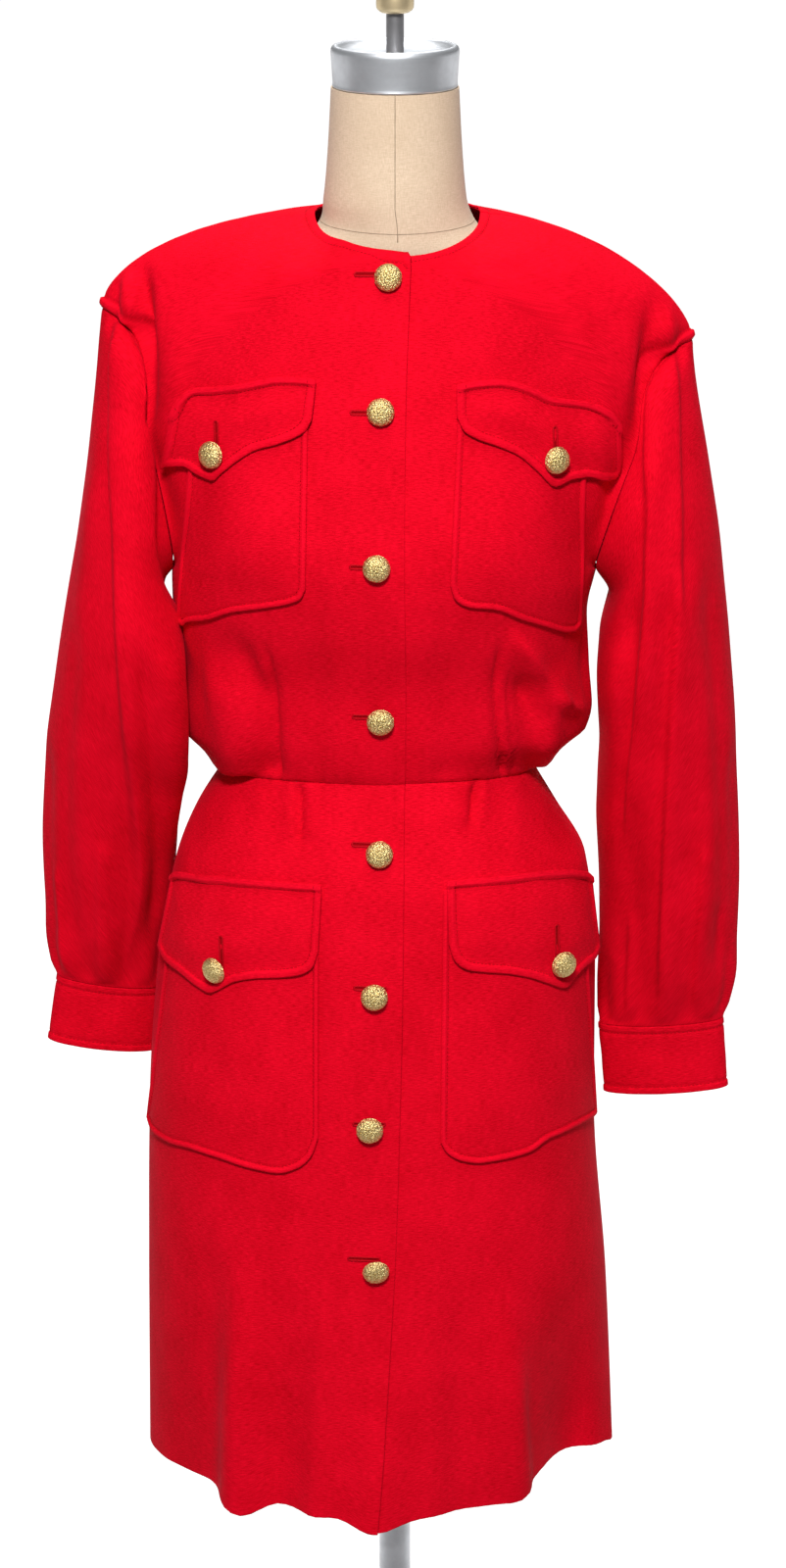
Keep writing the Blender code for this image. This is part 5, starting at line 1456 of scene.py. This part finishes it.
def add_buttonhole(name, sheet, side, spot, reach, looks):
    """A worked buttonhole: a wound cord round a narrow slit, which starts at the spot's hole."""
    start, half = np.array([spot["hole_x"], spot["hole_z"]]), BUTTONHOLE_HALF_WIDTH
    length = math.hypot(*reach)
    way = np.array(reach) / length
    off = np.array([-way[1], way[0]])
    turn = np.linspace(-math.pi / 2, math.pi / 2, 9)
    far = [way * (length + half * math.cos(t)) + off * half * math.sin(t) for t in turn]
    near = [way * -half * math.cos(t) - off * half * math.sin(t) for t in turn]
    upper = [way * s + off * half for s in np.linspace(length, 0, 26)[1:-1]]
    lower = [way * s - off * half for s in np.linspace(0, length, 26)[1:-1]]
    loop = np.array(far + upper + near + lower) + start
    spots, ways = place_on(sheet, side, loop[:, 0], loop[:, 1])
    points, faces = tube_along(spots + ways * 0.0002, ways, BUTTONHOLE_CORD, 0.8)
    cord = add_piece(name, points, faces, looks["thread"])
    middle, out = place_one(sheet, side, *(start + way * length / 2))
    # The slit is a flat sheet painted dark: painted shade inside the cord.
    fill = np.concatenate([spots + ways * 0.00015, [middle + out * 0.0001]])
    fan = [(k, (k + 1) % len(spots), len(spots)) for k in range(len(spots))]
    return [cord, add_piece(name + "_slit", fill, fan, looks["slit"])]


# ---- Stitches ----


def stitches(name, sheet, distance, field, looks, pitch=0.0031, length=0.0023, radius=0.00033):
    """Short sunken thread stitches on a sheet, all at one distance from its edges."""
    tree = BVHTree.FromPolygons(
        sheet["grid"].reshape(-1, 3).tolist(), outer_quads(sheet["grid"], sheet["normals"]).tolist()
    )
    points, faces = [], []
    for path in inset(sheet, distance, field):
        for start in np.arange(pitch * 0.5, lengths_along(path)[-1] - length, pitch):
            line = resample(path, start + length * np.array([0.0, 0.25, 0.5, 0.75, 1.0]))
            hits = [tree.find_nearest(Vector(point)) for point in line]
            spots, ways = (np.array([hit[k] for hit in hits]) for k in (0, 1))
            lift = radius * np.array([-1.1, 0.25, 0.5, 0.25, -1.1])
            made, these = tube_along(spots + ways * lift[:, None], ways, radius, 0.9, 5, False)
            faces += [tuple(len(points) + i for i in face) for face in these]
            points += made.tolist()
    return add_piece(name, np.array(points), faces, looks["thread"])


def inset(sheet, distance, field):
    """Paths on a sheet that keep one distance from some of its edges, as lists of points."""
    grid, edge = sheet["grid"], sheet[field]
    crossings = []
    for line, values in ((grid, edge), (np.swapaxes(grid, 0, 1), edge.T)):
        near, far = values[:, :-1] - distance, values[:, 1:] - distance
        cut = near * far < 0
        share = (near[cut] / (near[cut] - far[cut]))[:, None]
        crossings.append(line[:, :-1][cut] * (1 - share) + line[:, 1:][cut] * share)
    return in_order(np.concatenate(crossings))


def in_order(points, jump=0.012, spacing=0.0016):
    """Scattered points of a line, put in order by walking to the nearest one left."""
    left = list(range(len(points)))
    paths = []
    while left:
        walk = [left.pop(0)]
        for end in (-1, 0):
            while left:
                gaps = np.linalg.norm(points[left] - points[walk[end]], axis=1)
                nearest = int(np.argmin(gaps))
                if gaps[nearest] > jump:
                    break
                found = left.pop(nearest)
                walk = walk + [found] if end == -1 else [found] + walk
        if len(walk) > 8:
            paths.append(even_line(points[walk], spacing))
    return paths


def even_line(points, spacing):
    """A line through ordered points, evened out so that it doesn't zigzag."""
    length = lengths_along(points)[-1]
    line = resample(points, np.linspace(0, length, max(4, int(length / spacing))))
    for _ in range(3):
        line[1:-1] = (line[:-2] + 2 * line[1:-1] + line[2:]) / 4
    return line


# ---- The dress form and its stand ----
FORM_SEGMENTS, FORM_LEVELS = 96, 160
NECK_SEAM_FOOT = 1.376
COLLAR_Z, COLLAR_TILT = 1.3865, 0.0035
LINEN_SEAM_RADIUS = 0.00030


def form_points():
    """The rings of the torso, from its foot to the top of its neck."""
    angle = np.linspace(0.0, 2 * math.pi, FORM_SEGMENTS, endpoint=False)
    cosine, sine = np.cos(angle), np.sin(angle)
    lines = []
    for height in np.linspace(FORM["height"][0], FORM["height"][-1], FORM_LEVELS):
        power = 2 / read(FORM, "square", height)
        half = read(FORM, "half_width", height)
        depth = np.where(sine < 0, read(FORM, "front", height), read(FORM, "back", height))
        x = read(FORM, "middle_x", height) + half * np.sign(cosine) * abs(cosine) ** power
        y = depth * np.sign(sine) * abs(sine) ** power
        lines.append(np.stack([x, y, np.full(FORM_SEGMENTS, height)], axis=1))
    return np.array(lines)


def add_seam(name, path, ways, closed, looks):
    """A thin raised seam of the linen cover."""
    points, faces = tube_along(path + ways * 0.00005, ways, LINEN_SEAM_RADIUS, 0.6, 6, closed)
    return add_piece(name, points, faces, looks)


def add_form(looks, seam_looks):
    """The linen torso, with its seams down the front and round the foot of the neck."""
    lines, count = form_points(), FORM_SEGMENTS
    ids = np.arange(lines.shape[0] * count).reshape(-1, count)
    after = np.roll(ids, -1, axis=1)
    quads = np.stack([ids[:-1], after[:-1], after[1:], ids[1:]], axis=-1).reshape(-1, 4)
    faces = quads.tolist() + [ids[0, ::-1].tolist(), ids[-1].tolist()]
    torso = add_piece("linen_torso", lines.reshape(-1, 3), faces, looks, sharp=TORSO_SHARP)

    front = lines[:, 3 * count // 4]
    neck = front[front[:, 2] > NECK_SEAM_FOOT]
    ways = np.tile([0.0, -1.0, 0.0], (len(neck), 1))
    seam = add_seam("linen_front_seam", neck, ways, False, seam_looks)
    turn = 2 * math.pi * np.arange(count) / count
    foot = np.array([
        [np.interp(z, lines[:, k, 2], lines[:, k, axis]) for axis in range(3)]
        for k, z in enumerate(COLLAR_Z + COLLAR_TILT * np.cos(turn - math.pi / 2))
    ])
    ways = unit(foot * np.array([1.0, 1.0, 0.0]))
    return [torso, seam, add_seam("linen_neck_seam", foot, ways, True, seam_looks)]


# ---- Materials ----


class Nodes:
    """A material's node tree, with short calls to add and link nodes."""

    def __init__(self, name):
        self.material = bpy.data.materials.new(name)
        self.material.use_nodes = True
        self.tree = self.material.node_tree
        self.shader = self.tree.nodes["Principled BSDF"]
        self.place = self.add("ShaderNodeTexCoord").outputs["Object"]

    def add(self, kind, inputs=None, **settings):
        node = self.tree.nodes.new(kind)
        for name, value in settings.items():
            setattr(node, name, value)
        for name, value in (inputs or {}).items():
            if isinstance(value, bpy.types.NodeSocket):
                self.tree.links.new(value, node.inputs[name])
            else:
                node.inputs[name].default_value = value
        return node

    def set(self, **values):
        for name, value in values.items():
            socket = self.shader.inputs[name.replace("_", " ")]
            if isinstance(value, bpy.types.NodeSocket):
                self.tree.links.new(value, socket)
            else:
                socket.default_value = value

    def math(self, operation, a, b):
        return self.add("ShaderNodeMath", {0: a, 1: b}, operation=operation).outputs[0]

    def noise(self, vector, scale, detail=2.0, roughness=0.5):
        inputs = {"Vector": vector, "Scale": scale, "Detail": detail, "Roughness": roughness}
        return self.add("ShaderNodeTexNoise", inputs).outputs["Fac"]

    def stretched(self, vector, scale):
        return self.add("ShaderNodeMapping", {"Vector": vector, "Scale": scale}).outputs["Vector"]

    def range(self, value, low, high, to_low, to_high):
        inputs = {"Value": value, "From Min": low, "From Max": high}
        inputs |= {"To Min": to_low, "To Max": to_high}
        return self.add("ShaderNodeMapRange", inputs).outputs["Result"]

    def mix(self, share, a, b):
        return self.add("ShaderNodeMix", {0: share, 6: a, 7: b}, data_type="RGBA").outputs[2]

    def bump(self, height, distance, strength=1.0, normal=None):
        inputs = {"Height": height, "Distance": distance, "Strength": strength}
        if normal is not None:
            inputs["Normal"] = normal
        return self.add("ShaderNodeBump", inputs).outputs["Normal"]


RED_DEEP = (0.34, 0.0004, 0.003, 1)
RED = (0.60, 0.0006, 0.008, 1)
# The lightest red is the nap's own tone and also the painted highlight on raised edges.
RED_NAP_AND_HIGHLIGHT = (0.86, 0.003, 0.024, 1)


def wool():
    """Wool with a fine crosswise slub, a soft nap that catches the light, a faint mottling, and a
    lighter red on raised edges that is partly wear and partly painted highlight.
    """
    n = Nodes("red_wool")
    cloth = n.add("ShaderNodeUVMap", uv_map="cloth").outputs["UV"]
    slub = n.noise(n.stretched(cloth, (200.0, 1350.0, 1.0)), 1.0, 3.0, 0.6)
    weft = n.noise(n.stretched(cloth, (380.0, 2600.0, 1.0)), 1.0, 2.0, 0.6)
    nap = n.noise(n.place, 1500.0, 2.0, 0.7)
    mottle = n.noise(n.place, 26.0, 3.0, 0.6)
    wear_and_highlight = n.add("ShaderNodeAttribute", attribute_name="wear_and_highlight").outputs["Fac"]
    patchy = n.range(mottle, 0.3, 0.7, -0.13, 0.13)
    tone = n.math("ADD", n.range(slub, 0.3, 0.7, -0.44, 0.44), patchy)
    tone = n.math("ADD", tone, n.range(nap, 0.3, 0.7, -0.12, 0.12))
    base = n.mix(0.30, n.mix(n.math("ADD", tone, 0.50), RED_DEEP, RED_NAP_AND_HIGHLIGHT), RED)
    # The raised edges turn towards the lightest red: partly wear, partly painted highlight.
    worn_and_highlighted = n.mix(n.range(wear_and_highlight, 0.0, 1.0, 0.0, 0.34), base, RED_NAP_AND_HIGHLIGHT)
    height = n.math("ADD", n.math("MULTIPLY", slub, 0.55), n.math("MULTIPLY", weft, 0.45))
    fuzz = n.bump(nap, 0.00016, 0.35, n.bump(height, 0.00022, 0.55))
    n.set(Base_Color=worn_and_highlighted, Roughness=n.range(nap, 0.3, 0.7, 0.72, 0.86), Normal=fuzz)
    n.set(Sheen_Weight=0.07, Sheen_Roughness=0.45, Sheen_Tint=(1.0, 0.05, 0.12, 1))
    n.set(Specular_IOR_Level=0.02)
    return n.material


def thread(name="red_thread", tint=(0.50, 0.0006, 0.008, 1)):
    """Sewing thread: its colour and shine vary with its fibres."""
    n = Nodes(name)
    fibre = n.noise(n.place, 2600.0, 2.0)
    dark = tuple(0.55 * c for c in tint[:3]) + (1,)
    n.set(Base_Color=n.mix(fibre, dark, tint), Roughness=n.range(fibre, 0.3, 0.7, 0.45, 0.65))
    n.set(Normal=n.bump(fibre, 0.0002, 0.5), Specular_IOR_Level=0.05)
    return n.material


def slit():
    """The cloth inside a buttonhole, painted dark as painted shade."""
    n = Nodes("buttonhole_shade")
    fibre = n.noise(n.place, 900.0)
    n.set(Base_Color=n.mix(fibre, (0.20, 0.0005, 0.002, 1), (0.32, 0.001, 0.004, 1)))
    n.set(Roughness=0.95, Specular_IOR_Level=0.05)
    return n.material


def gold():
    """Pale gold with hammer marks, scratches, and darker metal left in the hollows."""
    n = Nodes("gold_buttons")
    cells = {"Vector": n.place, "Scale": 760.0}
    marks = n.add("ShaderNodeTexVoronoi", cells, feature="F1").outputs["Distance"]
    scratch = n.noise(n.stretched(n.place, (1.0, 5.0, 1.0)), 900.0, 3.0, 0.65)
    tone = n.math("ADD", n.math("MULTIPLY", marks, 0.7), n.math("MULTIPLY", scratch, 0.5))
    hollow = n.range(tone, 0.25, 0.85, 0.0, 1.0)
    n.set(Base_Color=n.mix(hollow, (1.0, 0.85, 0.44, 1), (0.48, 0.31, 0.09, 1)))
    n.set(Metallic=1.0, Roughness=n.range(scratch, 0.3, 0.7, 0.34, 0.50))
    n.set(Normal=n.bump(scratch, 0.0004, 0.7, n.bump(marks, 0.0007, 1.0)))
    return n.material


def linen():
    """Plain beige linen: two sets of uneven threads, and a little yellowed in patches."""
    n = Nodes("linen")
    across = n.noise(n.stretched(n.place, (240.0, 240.0, 3400.0)), 1.0, 2.0)
    along = n.noise(n.stretched(n.place, (3000.0, 3000.0, 200.0)), 1.0, 2.0)
    patch = n.noise(n.place, 14.0, 3.0, 0.6)
    weave = n.math("MULTIPLY", n.math("ADD", across, along), 0.5)
    light = n.range(weave, 0.35, 0.65, 0.0, 1.0)
    plain = n.mix(light, (0.52, 0.385, 0.265, 1), (0.70, 0.545, 0.40, 1))
    aged = n.mix(n.range(patch, 0.45, 0.75, 0.0, 0.45), plain, (0.53, 0.39, 0.26, 1))
    n.set(Base_Color=aged, Roughness=0.88, Specular_IOR_Level=0.2)
    n.set(Normal=n.bump(weave, 0.0002, 0.5), Sheen_Weight=0.08, Sheen_Roughness=0.5)
    return n.material


def satin_metal(name="satin_metal", tone=(0.64, 0.66, 0.69, 1), rough=0.40, metallic=0.85):
    """Brushed metal: fine level brush lines and a few faint smudges."""
    n = Nodes(name)
    brush = n.noise(n.stretched(n.place, (30.0, 30.0, 2600.0)), 1.0, 2.0)
    smudge = n.noise(n.place, 45.0, 3.0, 0.6)
    dim = tuple(0.78 * c for c in tone[:3]) + (1,)
    n.set(Base_Color=n.mix(n.range(smudge, 0.35, 0.75, 0.0, 1.0), tone, dim), Metallic=metallic)
    n.set(Roughness=n.range(n.math("ADD", brush, smudge), 0.6, 1.4, rough - 0.05, rough + 0.12))
    n.set(Normal=n.bump(brush, 0.00008, 0.4))
    return n.material


def painted_iron():
    """Black paint with a faint orange peel, worn a little lighter by scuffs."""
    n = Nodes("painted_iron")
    orange_peel = n.noise(n.place, 320.0, 2.0)
    scuff = n.noise(n.stretched(n.place, (1.0, 3.0, 1.0)), 24.0, 4.0, 0.7)
    scuffed = n.range(scuff, 0.55, 0.75, 0.0, 1.0)
    n.set(Base_Color=n.mix(scuffed, (0.018, 0.018, 0.020, 1), (0.060, 0.058, 0.055, 1)))
    n.set(Roughness=n.range(scuff, 0.3, 0.7, 0.34, 0.55), Normal=n.bump(orange_peel, 0.0002, 0.25))
    return n.material


def floor_paint_and_glow():
    """Matt and pale, and glowing from its middle line back: painted light that stands in for a lit
    studio sweep, faint in front and bright behind.
    """
    n = Nodes("pale_floor")
    soft = n.noise(n.place, 0.8, 2.0)
    n.set(Base_Color=n.mix(soft, (0.30, 0.30, 0.30, 1), (0.32, 0.32, 0.32, 1)), Roughness=0.9)
    back = n.add("ShaderNodeSeparateXYZ", {"Vector": n.place}).outputs["Y"]
    n.set(Specular_IOR_Level=0.1, Emission_Color=(1.0, 1.0, 1.0, 1))
    # Painted light: the floor's glow rises from faint in front to bright behind.
    n.set(Emission_Strength=n.range(back, FLOOR_GLOW_FROM, FLOOR_GLOW_TO, 0.08, FLOOR_GLOW))
    return n.material


# ---- The dress ----


def add_cloth(node, sheets, thickness, looks, sewn=()):
    """A piece of wool that stands for its node: a hung sheet of its cut's size."""
    piece = add_shell("wool_" + node, sheets, thickness, looks["wool"])
    stand_in(piece, node)
    for small in sewn:
        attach(small, "root")


def panel_at(spot):
    """Whether a spot on the front lies on the bodice or on the skirt."""
    return "bodice" if spot["z"] > BODICE["front_z"][0] else "skirt"


def dress(looks):
    """All the cloth pieces and buttons, with the stitches and buttonholes that go with each."""
    fronts = {}
    for side, word in ((RIGHT, "right"), (LEFT, "left")):
        fronts[side] = {"bodice": bodice_sheet(side, FRONT), "skirt": skirt_sheet(side, FRONT)}
        bodice, skirt = fronts[side].values()
        sewn = {"bodice": [neck_stitches(f"neck_stitches_{word}", bodice, looks)], "skirt": []}
        if side == RIGHT:
            for k, spot in enumerate(each(FRONT_CLOSINGS)):
                under, name = panel_at(spot), f"front_buttonhole_{k + 1}"
                sewn[under] += add_buttonhole(name, fronts[side][under], side, spot, TO_LAP, looks)
        body = f"bodice_front_{word}"
        add_cloth(body, [bodice], WALL, looks, sewn["bodice"])
        add_cloth(f"skirt_front_{word}", [skirt], WALL, looks, sewn["skirt"])
        add_sleeve(side, word, looks)
        for where, under in (("chest", "bodice"), ("hip", "skirt")):
            add_pocket(fronts[side][under], side, where, word, looks)

    backs = [bodice_sheet(side, BACK) for side in (RIGHT, LEFT)]
    sewn = [neck_stitches(f"back_neck_stitches_{k}", back, looks) for k, back in enumerate(backs)]
    add_cloth("bodice_back", backs, WALL, looks, sewn)
    backs = [skirt_sheet(side, BACK) for side in (RIGHT, LEFT)]
    add_cloth("skirt_back", backs, WALL, looks)
    for k, spot in enumerate(each(FRONT_CLOSINGS)):
        add_button(f"front_button_{k + 1}", fronts[RIGHT][panel_at(spot)], RIGHT, spot, k, looks)


def neck_stitches(name, sheet, looks):
    """The stitches that hold the neckline's facing."""
    return stitches(name, sheet, NECK_STITCH + 0.0006, "neck", looks)


def add_sleeve(side, word, looks):
    """A sleeve and its cuff, with the cuff's stitches."""
    add_cloth(f"sleeve_{word}", [sleeve_sheet(side)], WALL, looks)
    cuff = cuff_sheet(side)
    sewn = [stitches(f"cuff_stitches_{word}", cuff, CUFF_STITCH + 0.0008, "edge", looks)]
    add_cloth(f"cuff_{word}", [cuff], CUFF_WALL, looks, sewn)


def add_pocket(under, side, where, word, looks):
    """A patch pocket and its flap, with the flap's buttonhole and button."""
    name = f"{where}_pocket_{word}"
    pocket = laid_sheet(under, side, POCKETS[where][side], LAY_GAP + POCKET_WALL, pocket_relief)
    sewn = [stitches(f"{name}_stitches", pocket, POCKET_STITCH, "sewn", looks)]
    add_cloth(name, [pocket], POCKET_WALL, looks, sewn)

    name = f"{where}_flap_{word}"
    spot = FLAP_CLOSINGS[name]
    flap = laid_sheet(under, side, FLAPS[where][side], FLAP_LIFT + FLAP_WALL, flap_relief)
    sewn = [
        stitches(f"{name}_stitches", flap, FLAP_STITCH, "sewn", looks),
        stitches(f"{name}_tuck_stitches", flap, TUCK_STITCH, "top", looks),
        *add_buttonhole(f"{name}_buttonhole", flap, side, spot, DOWN_FLAP, looks),
    ]
    add_cloth(name, [flap], FLAP_WALL, looks, sewn)
    add_button(f"{where}_button_{word}", flap, side, spot, len(name) + side, looks)


# ---- The form and its stand ----


def stacked(profile, foot):
    """A profile table as pairs, with its foot at a height."""
    return list(zip(profile["radius"], foot + profile["height"]))


def stand_in(piece, node):
    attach(piece, "root")
    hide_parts(node)


# The cap: a rolled foot, a plain band, a bright rolled lip and a dished top.
CAP_LOOKS = table("""
    radius height
       0    0
    45.5    0
    46.6  0.3
    47.1  1.2
    46.9  2.2
    46.8    4
    47.3   12
    47.9 22.5
    48.2 26.2
      48 28.2
    47.3 29.7
    46.1 30.7
    44.6   31
    43.2 30.7
    41.6 29.8
    39.6 28.5
      36 27.2
      30 26.2
      15 25.4
       0   25
""")
FINIAL_LOOKS = table("""
    radius height
       0    0
    10.2    0
    11.2  0.6
      13    2
      14  3.6
    14.2    6
    14.2 10.5
      14 12.8
    13.2 15.2
    11.5 17.4
     8.5 18.8
     4.5 19.4
       0 19.4
""")
BASE_LOOKS = table("""
    radius height
        0    0
    183.5    0
      185  1.2
      185  6.6
    184.2  7.8
      182  9.2
      173 13.8
      165 14.7
       56 21.4
       50 22.4
     44.5   25
     38.5 28.8
       35 29.8
       33   30
        0   30
""")


def rod_profile(radius, low, high):
    """A plain round bar between two heights."""
    return [(0.0, low), (radius, low), (radius, high), (0.0, high)]


def form_and_stand():
    """The linen form with its cap, rod and knob, on its pole and base."""
    torso, *seams = add_form(linen(), thread("linen_seam", (0.40, 0.30, 0.21, 1)))
    stand_in(torso, "form_torso")
    for seam in seams:
        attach(seam, "root")
    cap = stacked(CAP_LOOKS, NECK_TOP_Z)
    rod = rod_profile(ROD_RADIUS, DISH_Z + SEAM_GAP, ROD_TOP_Z)
    knob = stacked(FINIAL_LOOKS, ROD_TOP_Z + SEAM_GAP)
    pole = rod_profile(POLE_RADIUS, BASE_HEIGHT + SEAM_GAP, FORM["height"][0] - SEAM_GAP)
    base = stacked(BASE_LOOKS, 0.0)
    metal = satin_metal()
    dull = satin_metal("dull_metal", (0.22, 0.215, 0.22, 1), 0.46, 0.6)
    gold_beige = satin_metal("finial", (0.70, 0.56, 0.34, 1), 0.40, 0.8)
    for name, profile, segments, finish, node, slot in (
        ("metal_neck_cap", cap, 128, metal, "form_neck_cap", "satin_metal"),
        ("metal_rod", rod, 48, dull, "form_rod", "satin_metal"),
        ("gold_knob", knob, 64, gold_beige, "form_finial", "finial"),
        ("metal_pole", pole, 48, metal, "stand_pole", "satin_metal"),
        ("iron_base", base, 160, painted_iron(), "stand_base", "painted_iron"),
    ):
        stand_in(add_turned(name, profile, segments, finish), node)


# ---- Floor, light and camera ----
FLOOR_SIZE, FLOOR_GLOW = 120.0, 0.98
FLOOR_GLOW_FROM, FLOOR_GLOW_TO = -0.4, 0.7
WORLD_LIGHT = 0.12
LIGHTS = table("""
    x y z aim_z size power
    -200 -4200 4500  950 1000 345
       0  -800 4400 1000 2000  50
       0  2400 4400 1200 1600  80
""")
CAMERA_PLACE, CAMERA_TILT, CAMERA_LENS = (-0.0015, -3.575, 1.984), 73.766, 109.73


def place_floor():
    """A wide floor, just under the base."""
    mesh, half = bpy.data.meshes.new("floor"), FLOOR_SIZE / 2
    corners = [(-half, -half, 0), (half, -half, 0), (half, half, 0), (-half, half, 0)]
    mesh.from_pydata(corners, [], [(0, 1, 2, 3)])
    mesh.materials.append(floor_paint_and_glow())
    floor = bpy.data.objects.new("floor", mesh)
    floor.location.z = -0.0005
    bpy.context.collection.objects.link(floor)


def studio():
    """The floor, the soft lights and the camera of the photo."""
    place_floor()
    scene = bpy.context.scene
    scene.view_settings.view_transform = "Standard"
    scene.world = bpy.data.worlds.new("studio")
    scene.world.use_nodes = True
    background = scene.world.node_tree.nodes["Background"]
    background.inputs["Color"].default_value = (1.0, 1.0, 1.0, 1.0)
    background.inputs["Strength"].default_value = WORLD_LIGHT
    for k, spot in enumerate(each(LIGHTS)):
        light = bpy.data.lights.new(f"softbox_{k + 1}", "AREA")
        light.shape, light.size, light.energy = "DISK", spot["size"], spot["power"]
        lamp = bpy.data.objects.new(light.name, light)
        lamp.location = spot["x"], spot["y"], spot["z"]
        aim = Vector((0.0, 0.0, spot["aim_z"])) - lamp.location
        lamp.rotation_euler = aim.to_track_quat("-Z", "Y").to_euler()
        bpy.context.collection.objects.link(lamp)
    lens = bpy.data.cameras.new("camera")
    lens.lens, lens.sensor_width, lens.clip_end = CAMERA_LENS, 36.0, 200.0
    camera = bpy.data.objects.new("camera", lens)
    camera.location = CAMERA_PLACE
    camera.rotation_euler = (math.radians(CAMERA_TILT), 0.0, 0.0)
    bpy.context.collection.objects.link(camera)
    scene.camera = camera


def main():
    form_and_stand()
    dress({"wool": wool(), "thread": thread(), "slit": slit(), "gold": gold()})
    studio()


main()
